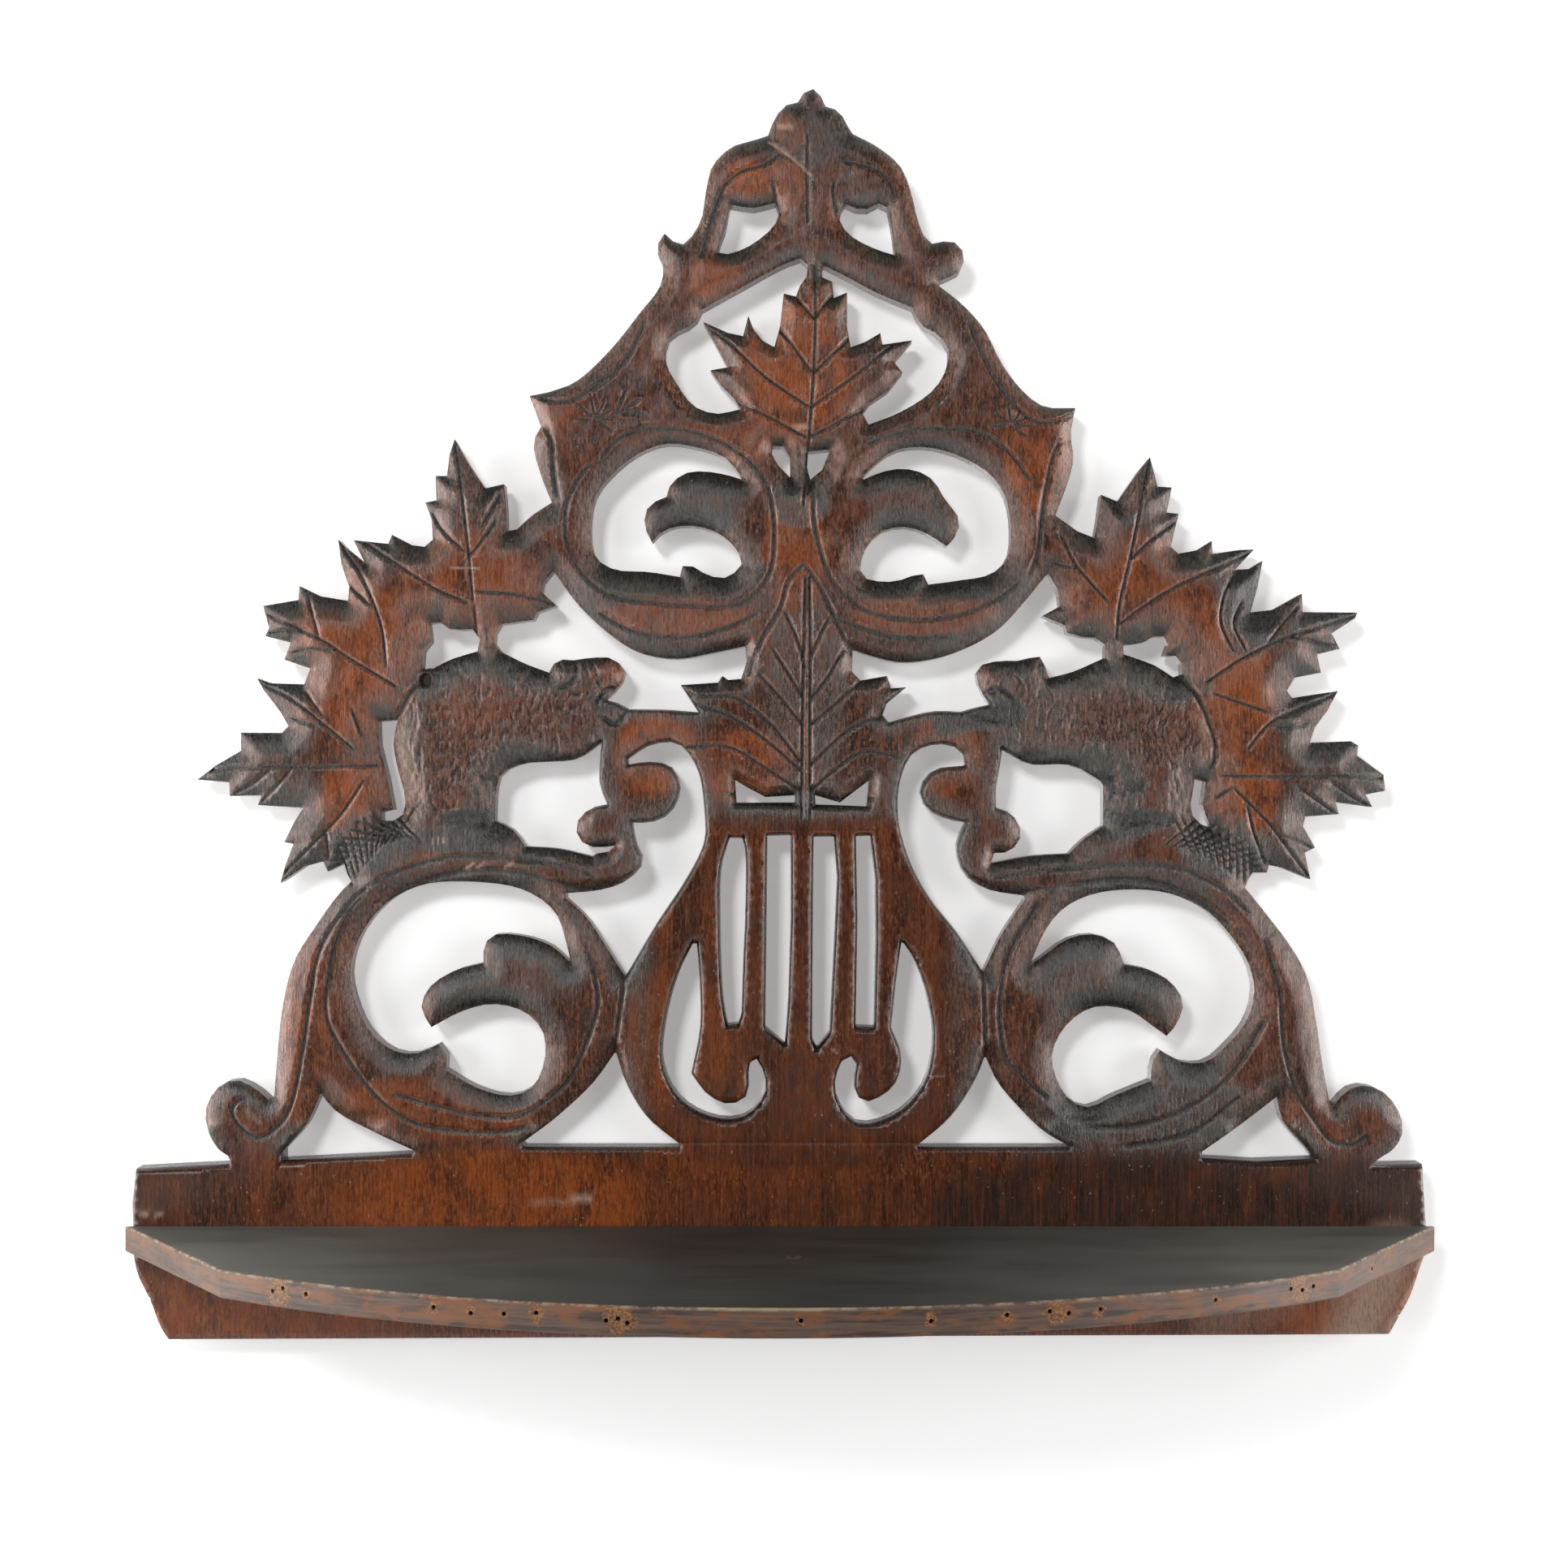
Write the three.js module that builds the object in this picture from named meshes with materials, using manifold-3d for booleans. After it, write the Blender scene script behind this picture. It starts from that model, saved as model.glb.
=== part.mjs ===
// Carved wall shelf: one pierced, relief-carved back board, a bow-fronted shelf screwed on
// through the board, and a plain bracket under the shelf.
// Millimetres, +Z up. The origin lies on the wall plane, on the centre line, level with the
// top of the shelf. The carving faces -Y.
import * as THREE from 'three';
import { mergeVertices } from 'three/addons/utils/BufferGeometryUtils.js';
import Module from 'manifold-3d';

const wasm = await Module();
wasm.setup();

// Back board
const boardThickness = 13;
const carvingWidth = 503.6;
const carvingHeight = 488;
const bevelWidth = 2.6;
const bevelDepth = 4;
const hangingHoleDiameter = 4.6;
const hangingHolePlace = [-138.2, 212.4];

// Shelf
const shelfOverhang = 2.6;
const shelfThickness = 10;
const shelfEndDepth = 82;
const shelfEndSetback = 57;
const shelfBow = 60;

// Bracket under the shelf
const bracketThickness = 12;
const bracketHeight = 30;
const bracketNose = 6;
const bracketReach = 108;
const bracketCentre = 5;

// Screws
const screwClearance = 0.35;
const shelfScrew = { shank: 3.5, head: 7, headHeight: 2.4, length: 40 };
const bracketScrew = { shank: 3.5, head: 7, headHeight: 2.4, length: 32 };
const topScrew = { shank: 3, head: 6, headHeight: 2, length: 20 };
const headSink = 0.3;
const shelfScrewPitch = carvingWidth * 0.27;
const topScrewFromBoard = 60;

// The drawing of the carving, with its bevels, was pricked out on a board of this size, and is
// stretched from there to the carving's own width and height.
const drawnWidth = 503.6;
const drawnHeight = 488;
const at = ([x, z]) => [x * carvingWidth / drawnWidth, z * carvingHeight / drawnHeight];
const placed = (loop) => loop.map(at);

// A smooth stretch runs as a curve through its points; a cut stretch keeps every corner.
const curveStep = 4.5;
const smooth = (points) => {
  const curve = new THREE.CatmullRomCurve3(
    points.map(([x, z]) => new THREE.Vector3(x, 0, z)), false, 'centripetal');
  const steps = Math.max(points.length - 1, Math.round(curve.getLength() / curveStep));
  return curve.getSpacedPoints(steps).map((p) => [p.x, p.z]);
};
const outline = (...stretches) => {
  const loop = stretches.flat();
  return loop.filter(([x, z], i) => {
    const [nx, nz] = loop[(i + 1) % loop.length];
    return Math.hypot(nx - x, nz - z) > 0.15;
  });
};

// Outer edge of the board, in stretches, from the left end of the plinth up over the crest
// and down to the right end.
const leftFoot = [[-238, -45], [-241.5, -39.5], [-245.5, -29], [-250.2, -19.5], [-251.9, -12]];
const leftPlinthEnd = [[-251.9, -12], [-252.4, 10], [-251, 21.6], [-232, 22.6], [-214.6, 23.4]];
const leftVolute = [
  [-214.6, 26.2], [-219, 29.3], [-223.7, 38.4], [-223.7, 45.9], [-218.6, 53.8], [-212.3, 56.1],
  [-204.4, 52.6], [-199.6, 48.4],
];
const leftOuterBand = [
  [-197.3, 49.8], [-196.2, 64], [-194.1, 84.5], [-189.4, 102.7], [-181.5, 115.6],
  [-172.1, 128.7], [-167.2, 133.6],
];
const leftTailEnd = [[-167.2, 133.6], [-168.8, 136.4], [-170, 140.6]];
const leftLowLeaf = [
  [-176.4, 137.4], [-178.2, 141.4], [-185.4, 139.5],
  [-194.9, 133], [-192.9, 140.2], [-189.8, 148.2], [-193.4, 148.9], [-189.5, 156.8],
  [-186.1, 162.2], [-203.7, 163.4], [-202.3, 167.1], [-214.6, 166.9], [-214.9, 172.2],
  [-227.3, 173.3], [-220, 178.9], [-210.2, 184.6], [-210.4, 191.7], [-194.4, 191.5],
  [-191.8, 194.2],
];
const leftMidLeaf = [
  [-194.8, 199.6], [-201.2, 207.9], [-204, 212.9], [-198.9, 210.9], [-185.6, 210.5],
  [-183.2, 216.6], [-193.4, 220.1], [-190.8, 226.8], [-200.8, 229.3], [-199.3, 232.5],
  [-201.7, 241.1], [-187.9, 243.4], [-187.5, 248.9], [-179.4, 244.9], [-168.5, 243.1],
];
const leftTopLeaf = [
  [-168, 248.5], [-171.2, 257.5], [-172.3, 267], [-169.5, 264], [-161.8, 257.6],
  [-166.4, 266.8], [-152.7, 265.3], [-151.4, 268.9], [-143.5, 264.8], [-138.6, 264.2],
  [-135.4, 267], [-136, 275.1], [-138.4, 281.4], [-134, 282.3], [-134.4, 291.8],
  [-129.9, 291.8], [-128.9, 300.3], [-126.9, 306.2], [-121.4, 296.4], [-115, 287],
  [-107.6, 288.6], [-106.9, 280], [-106.6, 270.3],
];
const leftNeck = [[-106.6, 270.3], [-103.7, 270.3], [-97, 276.2], [-89, 281.4]];
const leftUpperBand = [[-89, 281.4], [-93.4, 292.5], [-96.1, 305], [-93.2, 311]];
const leftSpandrel = [[-93.2, 311], [-97.7, 323], [-90.6, 324.4]];
const leftArch = [
  [-90.6, 324.4], [-80.1, 328.3], [-65.9, 341.3], [-54.9, 355.1], [-46.6, 366.1],
  [-45.6, 374], [-48.2, 380.6], [-45, 386.4],
];
const leftCrest = [
  [-45, 386.4], [-38.6, 381.8], [-31.2, 390.6], [-28.9, 402.4], [-26.5, 412.3],
  [-19, 420], [-10, 422.8], [-4.6, 424.6],
];
const finialLeft = [[-4.6, 424.6], [-1.6, 432], [3, 436.8], [7, 437.6]];
const finialTip = [[7, 437.6], [9, 441], [12.3, 443], [15.2, 441.2], [17.8, 436]];
const finialRight = [[17.8, 436], [23, 434], [26.4, 428.4], [28.4, 425.2]];
const rightCrest = [
  [28.4, 425.2], [37.4, 420.6], [46.9, 412.7], [51.2, 402.4], [53.6, 392.5], [56.4, 385.1],
  [59.4, 382.4],
];
const rightHook = [
  [59.4, 382.4], [67.4, 383.3], [71.7, 378.6], [70.2, 371.7], [66, 369.4], [61.8, 367.6],
];
const rightArch = [
  [61.8, 366.2], [71.3, 358.6], [79.6, 349.2], [86.6, 335.6], [94.6, 325.1], [103, 318.9],
  [115.3, 318.3],
];
const rightUpperBand = [[115.3, 318.3], [113.5, 308], [114.5, 298], [111.6, 287.1], [107.5, 276.4]];
const rightTopLeaf = [
  [116, 270.3], [122.7, 267.6], [124.1, 275.1], [125.3, 284.5], [131.8, 281.8], [140.5, 294.4],
  [144.4, 299.1], [147.4, 287.7], [152.9, 287.3], [150.9, 277.6], [155.6, 277], [152.5, 264.2],
  [155.5, 261.5], [162.6, 262.8], [168.5, 266.5], [168.8, 261.4], [179.1, 262.9], [185, 263.1],
  [177.6, 255.2], [183.1, 255.5], [188.3, 258.7], [186.4, 248.5], [183.6, 238.6],
];
const rightMidLeaf = [
  [192.5, 239.6], [198, 242.7], [203.7, 245.9], [204, 238.7], [225.3, 238.5], [224.5, 236.3],
  [215.3, 230.4], [218.4, 224.3], [209.6, 222.2], [211.1, 215], [200.9, 213.1], [197.8, 208],
  [199.9, 205.2], [210.3, 206.8], [217.8, 207.9], [213.5, 200], [208.8, 193.7], [206.8, 187.8],
];
const rightLowLeaf = [
  [222.9, 188.3], [225.7, 186.6], [225.3, 182.7], [235.6, 175.2], [236.1, 168.9], [228.5, 167.5],
  [231.2, 162.6], [216.8, 164.6], [218.2, 159.8], [205, 158.9], [204.2, 155], [208.8, 146.8],
  [204.8, 144.8], [207, 134.4], [196.1, 138.9], [190.8, 140], [190, 137], [184.5, 137],
];
const rightTailEnd = [[184.5, 137], [182.9, 134.6], [181.5, 131.2]];
const rightOuterBand = [
  [181.5, 131.2], [189.8, 120.8], [199.3, 108.2], [205.6, 96.4], [209.1, 79.8], [211.9, 60.9],
  [214.3, 48.4],
];
const rightVolute = [
  [216.4, 46.4], [221.6, 52.2], [228.3, 54], [235.5, 51.4], [241, 44.6], [243, 37], [239.5, 29.5],
  [233.4, 25.4], [230.4, 23],
];
const rightPlinthEnd = [[230.4, 23], [250.4, 23.4], [251.2, 10], [252.4, -8]];
const rightFoot = [[252.4, -8], [249, -18], [245.5, -28], [240.5, -37], [237.2, -43]];

const outerEdge = outline(
  smooth(leftFoot), leftPlinthEnd, smooth(leftVolute), smooth(leftOuterBand), leftTailEnd,
  leftLowLeaf, leftMidLeaf, leftTopLeaf, smooth(leftNeck), smooth(leftUpperBand), leftSpandrel,
  smooth(leftArch), smooth(leftCrest), smooth(finialLeft), smooth(finialTip),
  smooth(finialRight), smooth(rightCrest), smooth(rightHook), smooth(rightArch),
  smooth(rightUpperBand), rightTopLeaf, rightMidLeaf, rightLowLeaf, rightTailEnd,
  smooth(rightOuterBand), smooth(rightVolute), rightPlinthEnd, smooth(rightFoot));

// Openings, each drawn round once.
const upperRingLeft = outline(
  smooth([
    [-15.6, 292.4], [-21.8, 299.2], [-32.8, 303], [-44.7, 304.3], [-56, 300], [-66, 291.8],
    [-72, 283.6], [-73.9, 272], [-72.3, 260.7], [-65.2, 255.5], [-51, 254.3], [-39.1, 252.4],
  ]),
  smooth([[-39.1, 252.4], [-37.6, 257], [-34, 256.5], [-28.1, 253.1], [-21, 252.2],
    [-14.9, 257.6], [-17.6, 264], [-25.8, 270.3], [-37, 272.4], [-45.6, 270.2], [-50, 266]]),
  smooth([[-50, 266], [-52.9, 272.9], [-51, 280.2], [-44.3, 283.6]]),
  smooth([[-44.3, 283.6], [-42.4, 288.7], [-36.4, 293], [-28.9, 293.5], [-20, 292], [-14.9, 290.4]]));
const upperRingRight = outline(
  smooth([[32.7, 290.4], [40, 293.4], [48.5, 294.6], [56, 292.8], [60.3, 289.5], [64.4, 282.6],
    [69.4, 276], [69.4, 269.8], [65, 264.3]]),
  smooth([[65, 264.3], [57.1, 269.4], [48.5, 271.9], [39, 269.8], [32.7, 261.9], [31.9, 253],
    [39.8, 250.5], [48, 251.4], [55.4, 253.8], [57.9, 249.4]]),
  smooth([[57.9, 249.4], [69, 250.9], [82.4, 253.6], [88.6, 259.6], [90.1, 270], [88.2, 283],
    [82.4, 292], [71, 299.2], [56, 303.1], [44.5, 301.5], [36.6, 296], [32.1, 291.4]]));
const lowerRingLeft = outline(
  smooth([[-81.7, 102.6], [-83.8, 111.3], [-87.7, 121.6], [-99.5, 130.1], [-118.5, 133.4],
    [-139.7, 132.2], [-153.1, 125.5], [-163.4, 113], [-167.6, 99], [-165.8, 87.7], [-160.2, 75.5],
    [-150.8, 67.6], [-142.1, 66.5], [-133, 70.2]]),
  smooth([[-133, 70.2], [-130, 66], [-130.3, 60.1]]),
  smooth([[-130.3, 60.1], [-118, 53], [-105, 50], [-96.4, 53.6], [-91.8, 64], [-92.6, 75.1],
    [-99.6, 82.6], [-112.1, 85.7], [-124, 82.9], [-136, 76.7]]),
  smooth([[-136, 76.7], [-139.9, 84.5], [-136.6, 92.4], [-127.1, 98.7], [-115.7, 101.8]]),
  smooth([[-115.7, 101.8], [-115.4, 108], [-112.4, 112.4], [-101.1, 112.5], [-89, 108.4],
    [-82.5, 102.6]]));
const lowerRingRight = outline(
  smooth([[97.4, 100.6], [103.9, 105.4], [112.6, 111.3], [122.8, 112.9], [130.7, 109.4],
    [134.2, 101.2]]),
  smooth([[134.2, 101.2], [144.1, 99.1], [152.8, 94], [157.3, 86.1], [154.4, 77.4],
    [150.9, 73.3]]),
  smooth([[150.9, 73.3], [145.7, 77], [136.2, 83.3], [122, 84.4], [111.5, 77.2], [106.2, 66.4],
    [107.8, 56.9], [113.3, 48.2], [120.4, 45.5], [129.9, 49.8], [144.7, 55.8]]),
  smooth([[144.7, 55.8], [145.3, 63], [148.4, 67.7]]),
  smooth([[148.4, 67.7], [156.7, 63.2], [166.2, 63.2], [174.1, 69.5], [181.9, 79], [185.1, 90.8],
    [182.7, 101.9], [175.6, 112.9], [166.2, 122.4], [152.4, 128.8], [134.6, 130.4], [119.5, 127.8],
    [109.4, 122], [103.1, 113.7], [98.2, 102.6]]));
const archLeft = outline(
  smooth([[11, 374], [9, 376.6], [2.7, 374.8], [-15.5, 365], [-30.5, 356.7]]),
  smooth([[-30.5, 356.7], [-33.6, 351.2], [-39.1, 348.6], [-43.5, 345.2], [-44.6, 336.5],
    [-40.2, 327.8], [-33.6, 319.1], [-24.6, 316.1], [-15.4, 317.9]]),
  [[-17.8, 321.8], [-22.6, 326.7], [-27.1, 333], [-20.3, 334.2], [-24.2, 341.7], [-29.9, 351.9],
    [-20.2, 347.6], [-14.4, 346.4], [-12.3, 354.3], [-10.4, 349.2], [-6.8, 344.6], [-2.2, 342.1],
    [0.1, 350.4], [1.5, 363], [6.2, 361.8], [7.9, 366.1], [10.3, 369.4]]);
const archRight = outline(
  [[16.7, 373.8], [16.5, 369.3], [20.4, 367.6], [21, 361.2], [26.2, 363.4], [26.2, 350],
    [27.6, 342], [33.5, 344.2], [39.2, 347.6], [40, 343], [51.6, 344.7], [44.4, 336.4],
    [47.8, 332.2], [42.2, 325.1], [35.1, 320.3], [32.2, 316.4], [34.6, 311.8]],
  smooth([[34.6, 311.8], [46.9, 316.7], [59.5, 325], [64.9, 333.6], [65.6, 342], [60.4, 347.9]]),
  smooth([[60.4, 347.9], [55.2, 350.6], [51.8, 357.4]]),
  smooth([[51.8, 357.4], [37.4, 363.4], [27.2, 368.9], [17.6, 373.8]]));
const stemLeft = outline([
  [-2.9, 303.4], [1.2, 303.3], [4, 299], [4, 291.2], [-0.6, 295.8], [-3.2, 300.4]]);
const stemRight = outline([
  [11, 301.3], [19.7, 302.2], [16.5, 294.2], [11.8, 290.3], [10.6, 295]]);
const crestLeft = outline(smooth([
  [-19.4, 397.7], [-10, 396.3], [-1, 398.2], [-1, 391.6], [-10, 382.7], [-20.2, 378.4],
  [-24.2, 378.6], [-21.2, 388.6], [-19.8, 396.4]]));
const crestRight = outline(
  smooth([[25.4, 398.1], [32.4, 395.5], [40.6, 398.5], [43.3, 389.8], [44.8, 378]]),
  smooth([[44.8, 378], [37.4, 380.3], [27.2, 385.9], [23.2, 391.6], [24.2, 396.4]]));
const upperGapLeft = outline(
  smooth([[-109, 223.3], [-111.9, 228], [-109, 233.9]]),
  [[-96.2, 235.6], [-94.6, 238.6], [-87.1, 241.2], [-93, 246.4], [-92.4, 250], [-88.4, 254.8]],
  smooth([[-88.4, 254.8], [-78.6, 241.4], [-65.9, 229.6], [-54.9, 222.9], [-40, 220.4],
    [-26, 222.8], [-13.6, 225.4]]),
  [[-12.9, 219.5], [-15.1, 212.6], [-20.2, 212.2], [-22.4, 213.8], [-24.2, 211.2],
    [-38.7, 210.2], [-31.8, 199.6]],
  smooth([[-31.8, 199.6], [-44, 200.6], [-58.7, 200.8]]),
  smooth([[-58.7, 200.8], [-63, 203.1], [-67.9, 204.4]]),
  smooth([[-67.9, 204.4], [-64.6, 207.6], [-61.7, 211.1], [-60.4, 215.6], [-65.6, 220.6],
    [-73, 220.9], [-80.6, 219.9]]),
  smooth([[-80.6, 219.9], [-86.9, 219.8], [-90.1, 215.1]]),
  smooth([[-90.1, 215.1], [-99.5, 218.6], [-109, 223.3]]));
const upperGapRight = outline(
  smooth([[42.5, 195.7], [50.8, 198.1], [60, 200.1], [70.5, 199.8]]),
  smooth([[70.5, 199.8], [76, 201.4], [82, 202.6]]),
  smooth([[82, 202.6], [77.6, 209.5], [77.2, 216.8], [83.9, 219.4], [94.1, 219.8], [101.2, 221.4],
    [105, 213]]),
  smooth([[105, 213], [114, 215.3], [126.9, 220.9]]),
  smooth([[126.9, 220.9], [127.4, 225], [124.4, 228.2], [118, 229]]),
  [[112, 230.6], [111.4, 233.4], [102.4, 237.2], [109.3, 241], [108.3, 247.6], [104.6, 254]],
  smooth([[104.6, 254], [95, 242.2], [84.8, 231.5], [72.1, 224.4], [59.5, 220.3], [46.9, 219.1],
    [36, 221.4], [28.4, 224]]),
  [[28.2, 215.4], [31.5, 212], [41.8, 213.8], [43.3, 208.9], [49.4, 209.4], [41.7, 203],
    [40, 198.5]]);
const rumpLeft = outline(
  smooth([[-137, 234.3], [-130.4, 234.4], [-129.2, 232.2], [-119.9, 232]]),
  smooth([[-119.9, 232], [-117.1, 228.4], [-118, 223.4]]),
  smooth([[-118, 223.4], [-129.1, 219.9], [-136.6, 215.9]]),
  [[-139.8, 215.9], [-139.2, 223.4], [-136.2, 227.2]]);
const rumpRight = outline(
  smooth([[133.9, 225.8], [142, 226.9], [148, 230], [151.5, 227.4], [150, 221.7]]),
  smooth([[150, 221.7], [155.4, 221.2], [157.2, 215], [155.1, 212.8], [146.4, 217.8],
    [134.2, 222.2]]));
const flankLeft = outline(
  [[-156.8, 196], [-149, 196.6]],
  smooth([[-149, 196.6], [-150.8, 188], [-149.2, 178], [-146.2, 166], [-146.8, 160],
    [-152.3, 156.8], [-155.5, 157.2]]),
  [[-155.5, 160.4], [-150.9, 161.6], [-153.3, 174.6], [-156.4, 186.8]]);
const flankRight = outline(
  smooth([[161.8, 173.6], [166, 172.8], [165, 163], [168.5, 154.4]]),
  smooth([[168.5, 154.4], [163, 156.7], [160.2, 161.4], [161, 168]]));
const chestLeft = outline(
  smooth([[-69.5, 188], [-79, 181.5], [-90.1, 180.3], [-100.3, 179.5], [-109, 175],
    [-110.8, 167], [-111.2, 157.2]]),
  smooth([[-111.2, 157.2], [-104, 153.6], [-99.5, 147.2]]),
  smooth([[-99.5, 147.2], [-86, 146.3], [-73.4, 143.3]]),
  smooth([[-71.6, 144.4], [-64.4, 146], [-64.2, 147.6], [-72, 146.7], [-78.6, 150.4],
    [-78.8, 157.4], [-73.5, 162.2], [-67.4, 163.7]]),
  smooth([[-67.4, 163.7], [-70.4, 171.7], [-70.1, 181.9]]));
const chestRight = outline(
  smooth([[86.6, 185], [97.3, 179.5], [113.9, 178.9], [124.9, 172.8]]),
  [[126.1, 171], [126.1, 155.3]],
  smooth([[126.1, 155.3], [118.4, 150], [112.8, 144.4]]),
  smooth([[112.8, 144.4], [98, 143.5], [82.4, 140.6]]),
  smooth([[82.4, 140.6], [83.6, 144.6], [89.4, 145.2], [94, 151.4], [90.6, 159.8],
    [84.4, 162.4]]),
  smooth([[84.4, 162.4], [84.3, 170], [85.7, 177.6], [86.4, 183]]));
const lyreFlankLeft = outline(
  smooth([[-59.3, 179.1], [-51, 180.3], [-42.8, 178.6], [-39, 170.5], [-42.7, 160.6],
    [-49.4, 156.8], [-57.7, 156.5]]),
  smooth([[-57.7, 156.5], [-56.5, 149], [-53.6, 141.3], [-60, 133.8], [-70, 130.3],
    [-83.4, 129]]),
  smooth([[-83.4, 127], [-75.1, 119.2], [-66.4, 105.8], [-60.7, 97]]),
  smooth([[-60, 97], [-48.3, 116.9], [-36.4, 135], [-29.6, 149], [-29.4, 160], [-32.4, 178],
    [-40, 187.4], [-51.3, 186.6], [-59.3, 181.4]]));
const lyreFlankRight = outline(
  smooth([[78.7, 98.8], [69.1, 113.7], [58.5, 127.1], [51, 141], [46.2, 158], [46.8, 172.4],
    [52, 183.6], [62.6, 187.2], [70.4, 184.7], [72.3, 178.8]]),
  smooth([[72.3, 178.8], [60.2, 177], [54.8, 169.5], [57.1, 162.2], [65, 157.9], [72.4, 156.6]]),
  smooth([[72.4, 156.6], [68.9, 147.2], [71.6, 137], [80, 130.9], [95.4, 128]]),
  smooth([[95.4, 126.2], [86.5, 112.9], [79.6, 98.8]]));
const wedgeLeft = outline(
  smooth([[-64.5, 66.6], [-72.7, 55.3], [-87.7, 41.2], [-100.6, 31.6]]),
  [[-99.6, 30.1], [-39.2, 30.1]],
  smooth([[-39.2, 31.2], [-52, 41.8], [-60, 55], [-63.8, 66.6]]));
const wedgeRight = outline(
  smooth([[80.4, 64.9], [85, 55.3], [93.6, 45.1], [103.1, 36], [112.6, 30.5]]),
  [[112.6, 30.1], [53.6, 30.1]],
  smooth([[53.6, 30.6], [66.7, 41.9], [76.4, 56.6], [79.7, 64.9]]));
const baseGapLeft = outline(
  smooth([[-179.2, 51], [-173.6, 44.3], [-157.9, 35.6], [-142.8, 28.6]]),
  [[-143.6, 27.4], [-193.8, 24.9]],
  smooth([[-193.8, 28.4], [-184.7, 38.8], [-180.2, 48.4]]));
const baseGapRight = outline(
  smooth([[164.8, 28.2], [180.4, 39.2], [193.9, 49.6]]),
  smooth([[193.9, 49.6], [196.1, 40.4], [205.6, 29.3], [208.6, 25.4]]),
  [[185.9, 24.5], [164.4, 25.8]]);
const teardropLeft = outline(
  smooth([[-32.4, 109.3], [-31.2, 92], [-31.2, 76.6], [-34.6, 58.8]]),
  smooth([[-34.6, 58.8], [-28.6, 50.8], [-19.8, 46.7], [-12.8, 50.2], [-12.2, 60], [-10.4, 65.3],
    [-6.4, 59.3], [-6, 50.6], [-14, 42], [-25.6, 41.6], [-39, 49], [-45.6, 62.4], [-44.4, 80],
    [-39.5, 97.9], [-34, 109.3]]));
const teardropRight = outline(
  smooth([[47.4, 109.8], [45.6, 97], [43.4, 76.6]]),
  smooth([[43.4, 76.6], [47.4, 65.6], [44.4, 53.8], [32.6, 47.6], [28.8, 54], [29.6, 64.6],
    [25.3, 64.8], [21.5, 52.2], [29.6, 39.6], [44.7, 42.7], [56, 54.6], [59.6, 71.9],
    [57.4, 88.8], [52.5, 102.7], [48.4, 109.3]]));
const string1 = outline(
  smooth([[-19.6, 150.6], [-22.8, 140], [-23.4, 120], [-22.2, 88], [-20.4, 77.6]]),
  [[-16.4, 78]],
  smooth([[-15, 82], [-14.3, 104], [-13.5, 122], [-13.6, 146], [-14.6, 150.4]]));
const string2 = outline([
  [-4.9, 151.4], [-5.2, 119], [-5.7, 76.6], [1.9, 70.1], [3.2, 88], [4.2, 119], [4.2, 151.6]]);
const string3 = outline([
  [13.2, 151], [12.9, 119], [12.6, 72], [14.4, 68.6], [19.3, 74.8], [21.2, 111.3], [22.3, 135],
  [21, 151]]);
const string4 = outline([
  [29.7, 151.2], [30.3, 119], [29.5, 77], [36.6, 76.8], [37.4, 111.3], [37.2, 135],
  [35.2, 151.4]]);
const leafSlotLeft = outline([
  [-17.6, 173.2], [-12.7, 170.2], [-5.6, 166.5], [5.9, 167.2], [5.9, 164.4], [-17, 164.3]]);
const leafSlotRight = outline([
  [13.7, 167.2], [23.4, 164.4], [34.8, 173], [33.8, 162.9], [13.9, 163.6]]);

const openings = [
  upperRingLeft, upperRingRight, lowerRingLeft, lowerRingRight, archLeft, archRight, stemLeft,
  stemRight, crestLeft, crestRight, upperGapLeft, upperGapRight, rumpLeft, rumpRight, flankLeft,
  flankRight, chestLeft, chestRight, lyreFlankLeft, lyreFlankRight, wedgeLeft, wedgeRight,
  baseGapLeft, baseGapRight, teardropLeft, teardropRight, string1, string2, string3, string4,
  leafSlotLeft, leafSlotRight,
];

// Solids from closed meshes.
const solid = (positions, triangles) => new wasm.Manifold(new wasm.Mesh({
  numProp: 3,
  vertProperties: Float32Array.from(positions.flat()),
  triVerts: Uint32Array.from(triangles.flat()),
}));
const solidOf = (geometry) => {
  const bare = geometry.clone();
  bare.deleteAttribute('normal');
  bare.deleteAttribute('uv');
  const merged = mergeVertices(bare, 1e-4);
  const index = Array.from(merged.index.array);
  const triangles = [];
  for (let i = 0; i < index.length; i += 3) {
    const [a, b, c] = index.slice(i, i + 3);
    if (a !== b && b !== c && c !== a) triangles.push([a, b, c]);
  }
  return solid([Array.from(merged.attributes.position.array)], triangles);
};
const geometryOf = (manifold) => {
  const mesh = manifold.getMesh();
  const geometry = new THREE.BufferGeometry();
  geometry.setAttribute('position', new THREE.Float32BufferAttribute(mesh.vertProperties, 3));
  geometry.setIndex(new THREE.Uint32BufferAttribute(mesh.triVerts, 1));
  return geometry;
};

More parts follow.
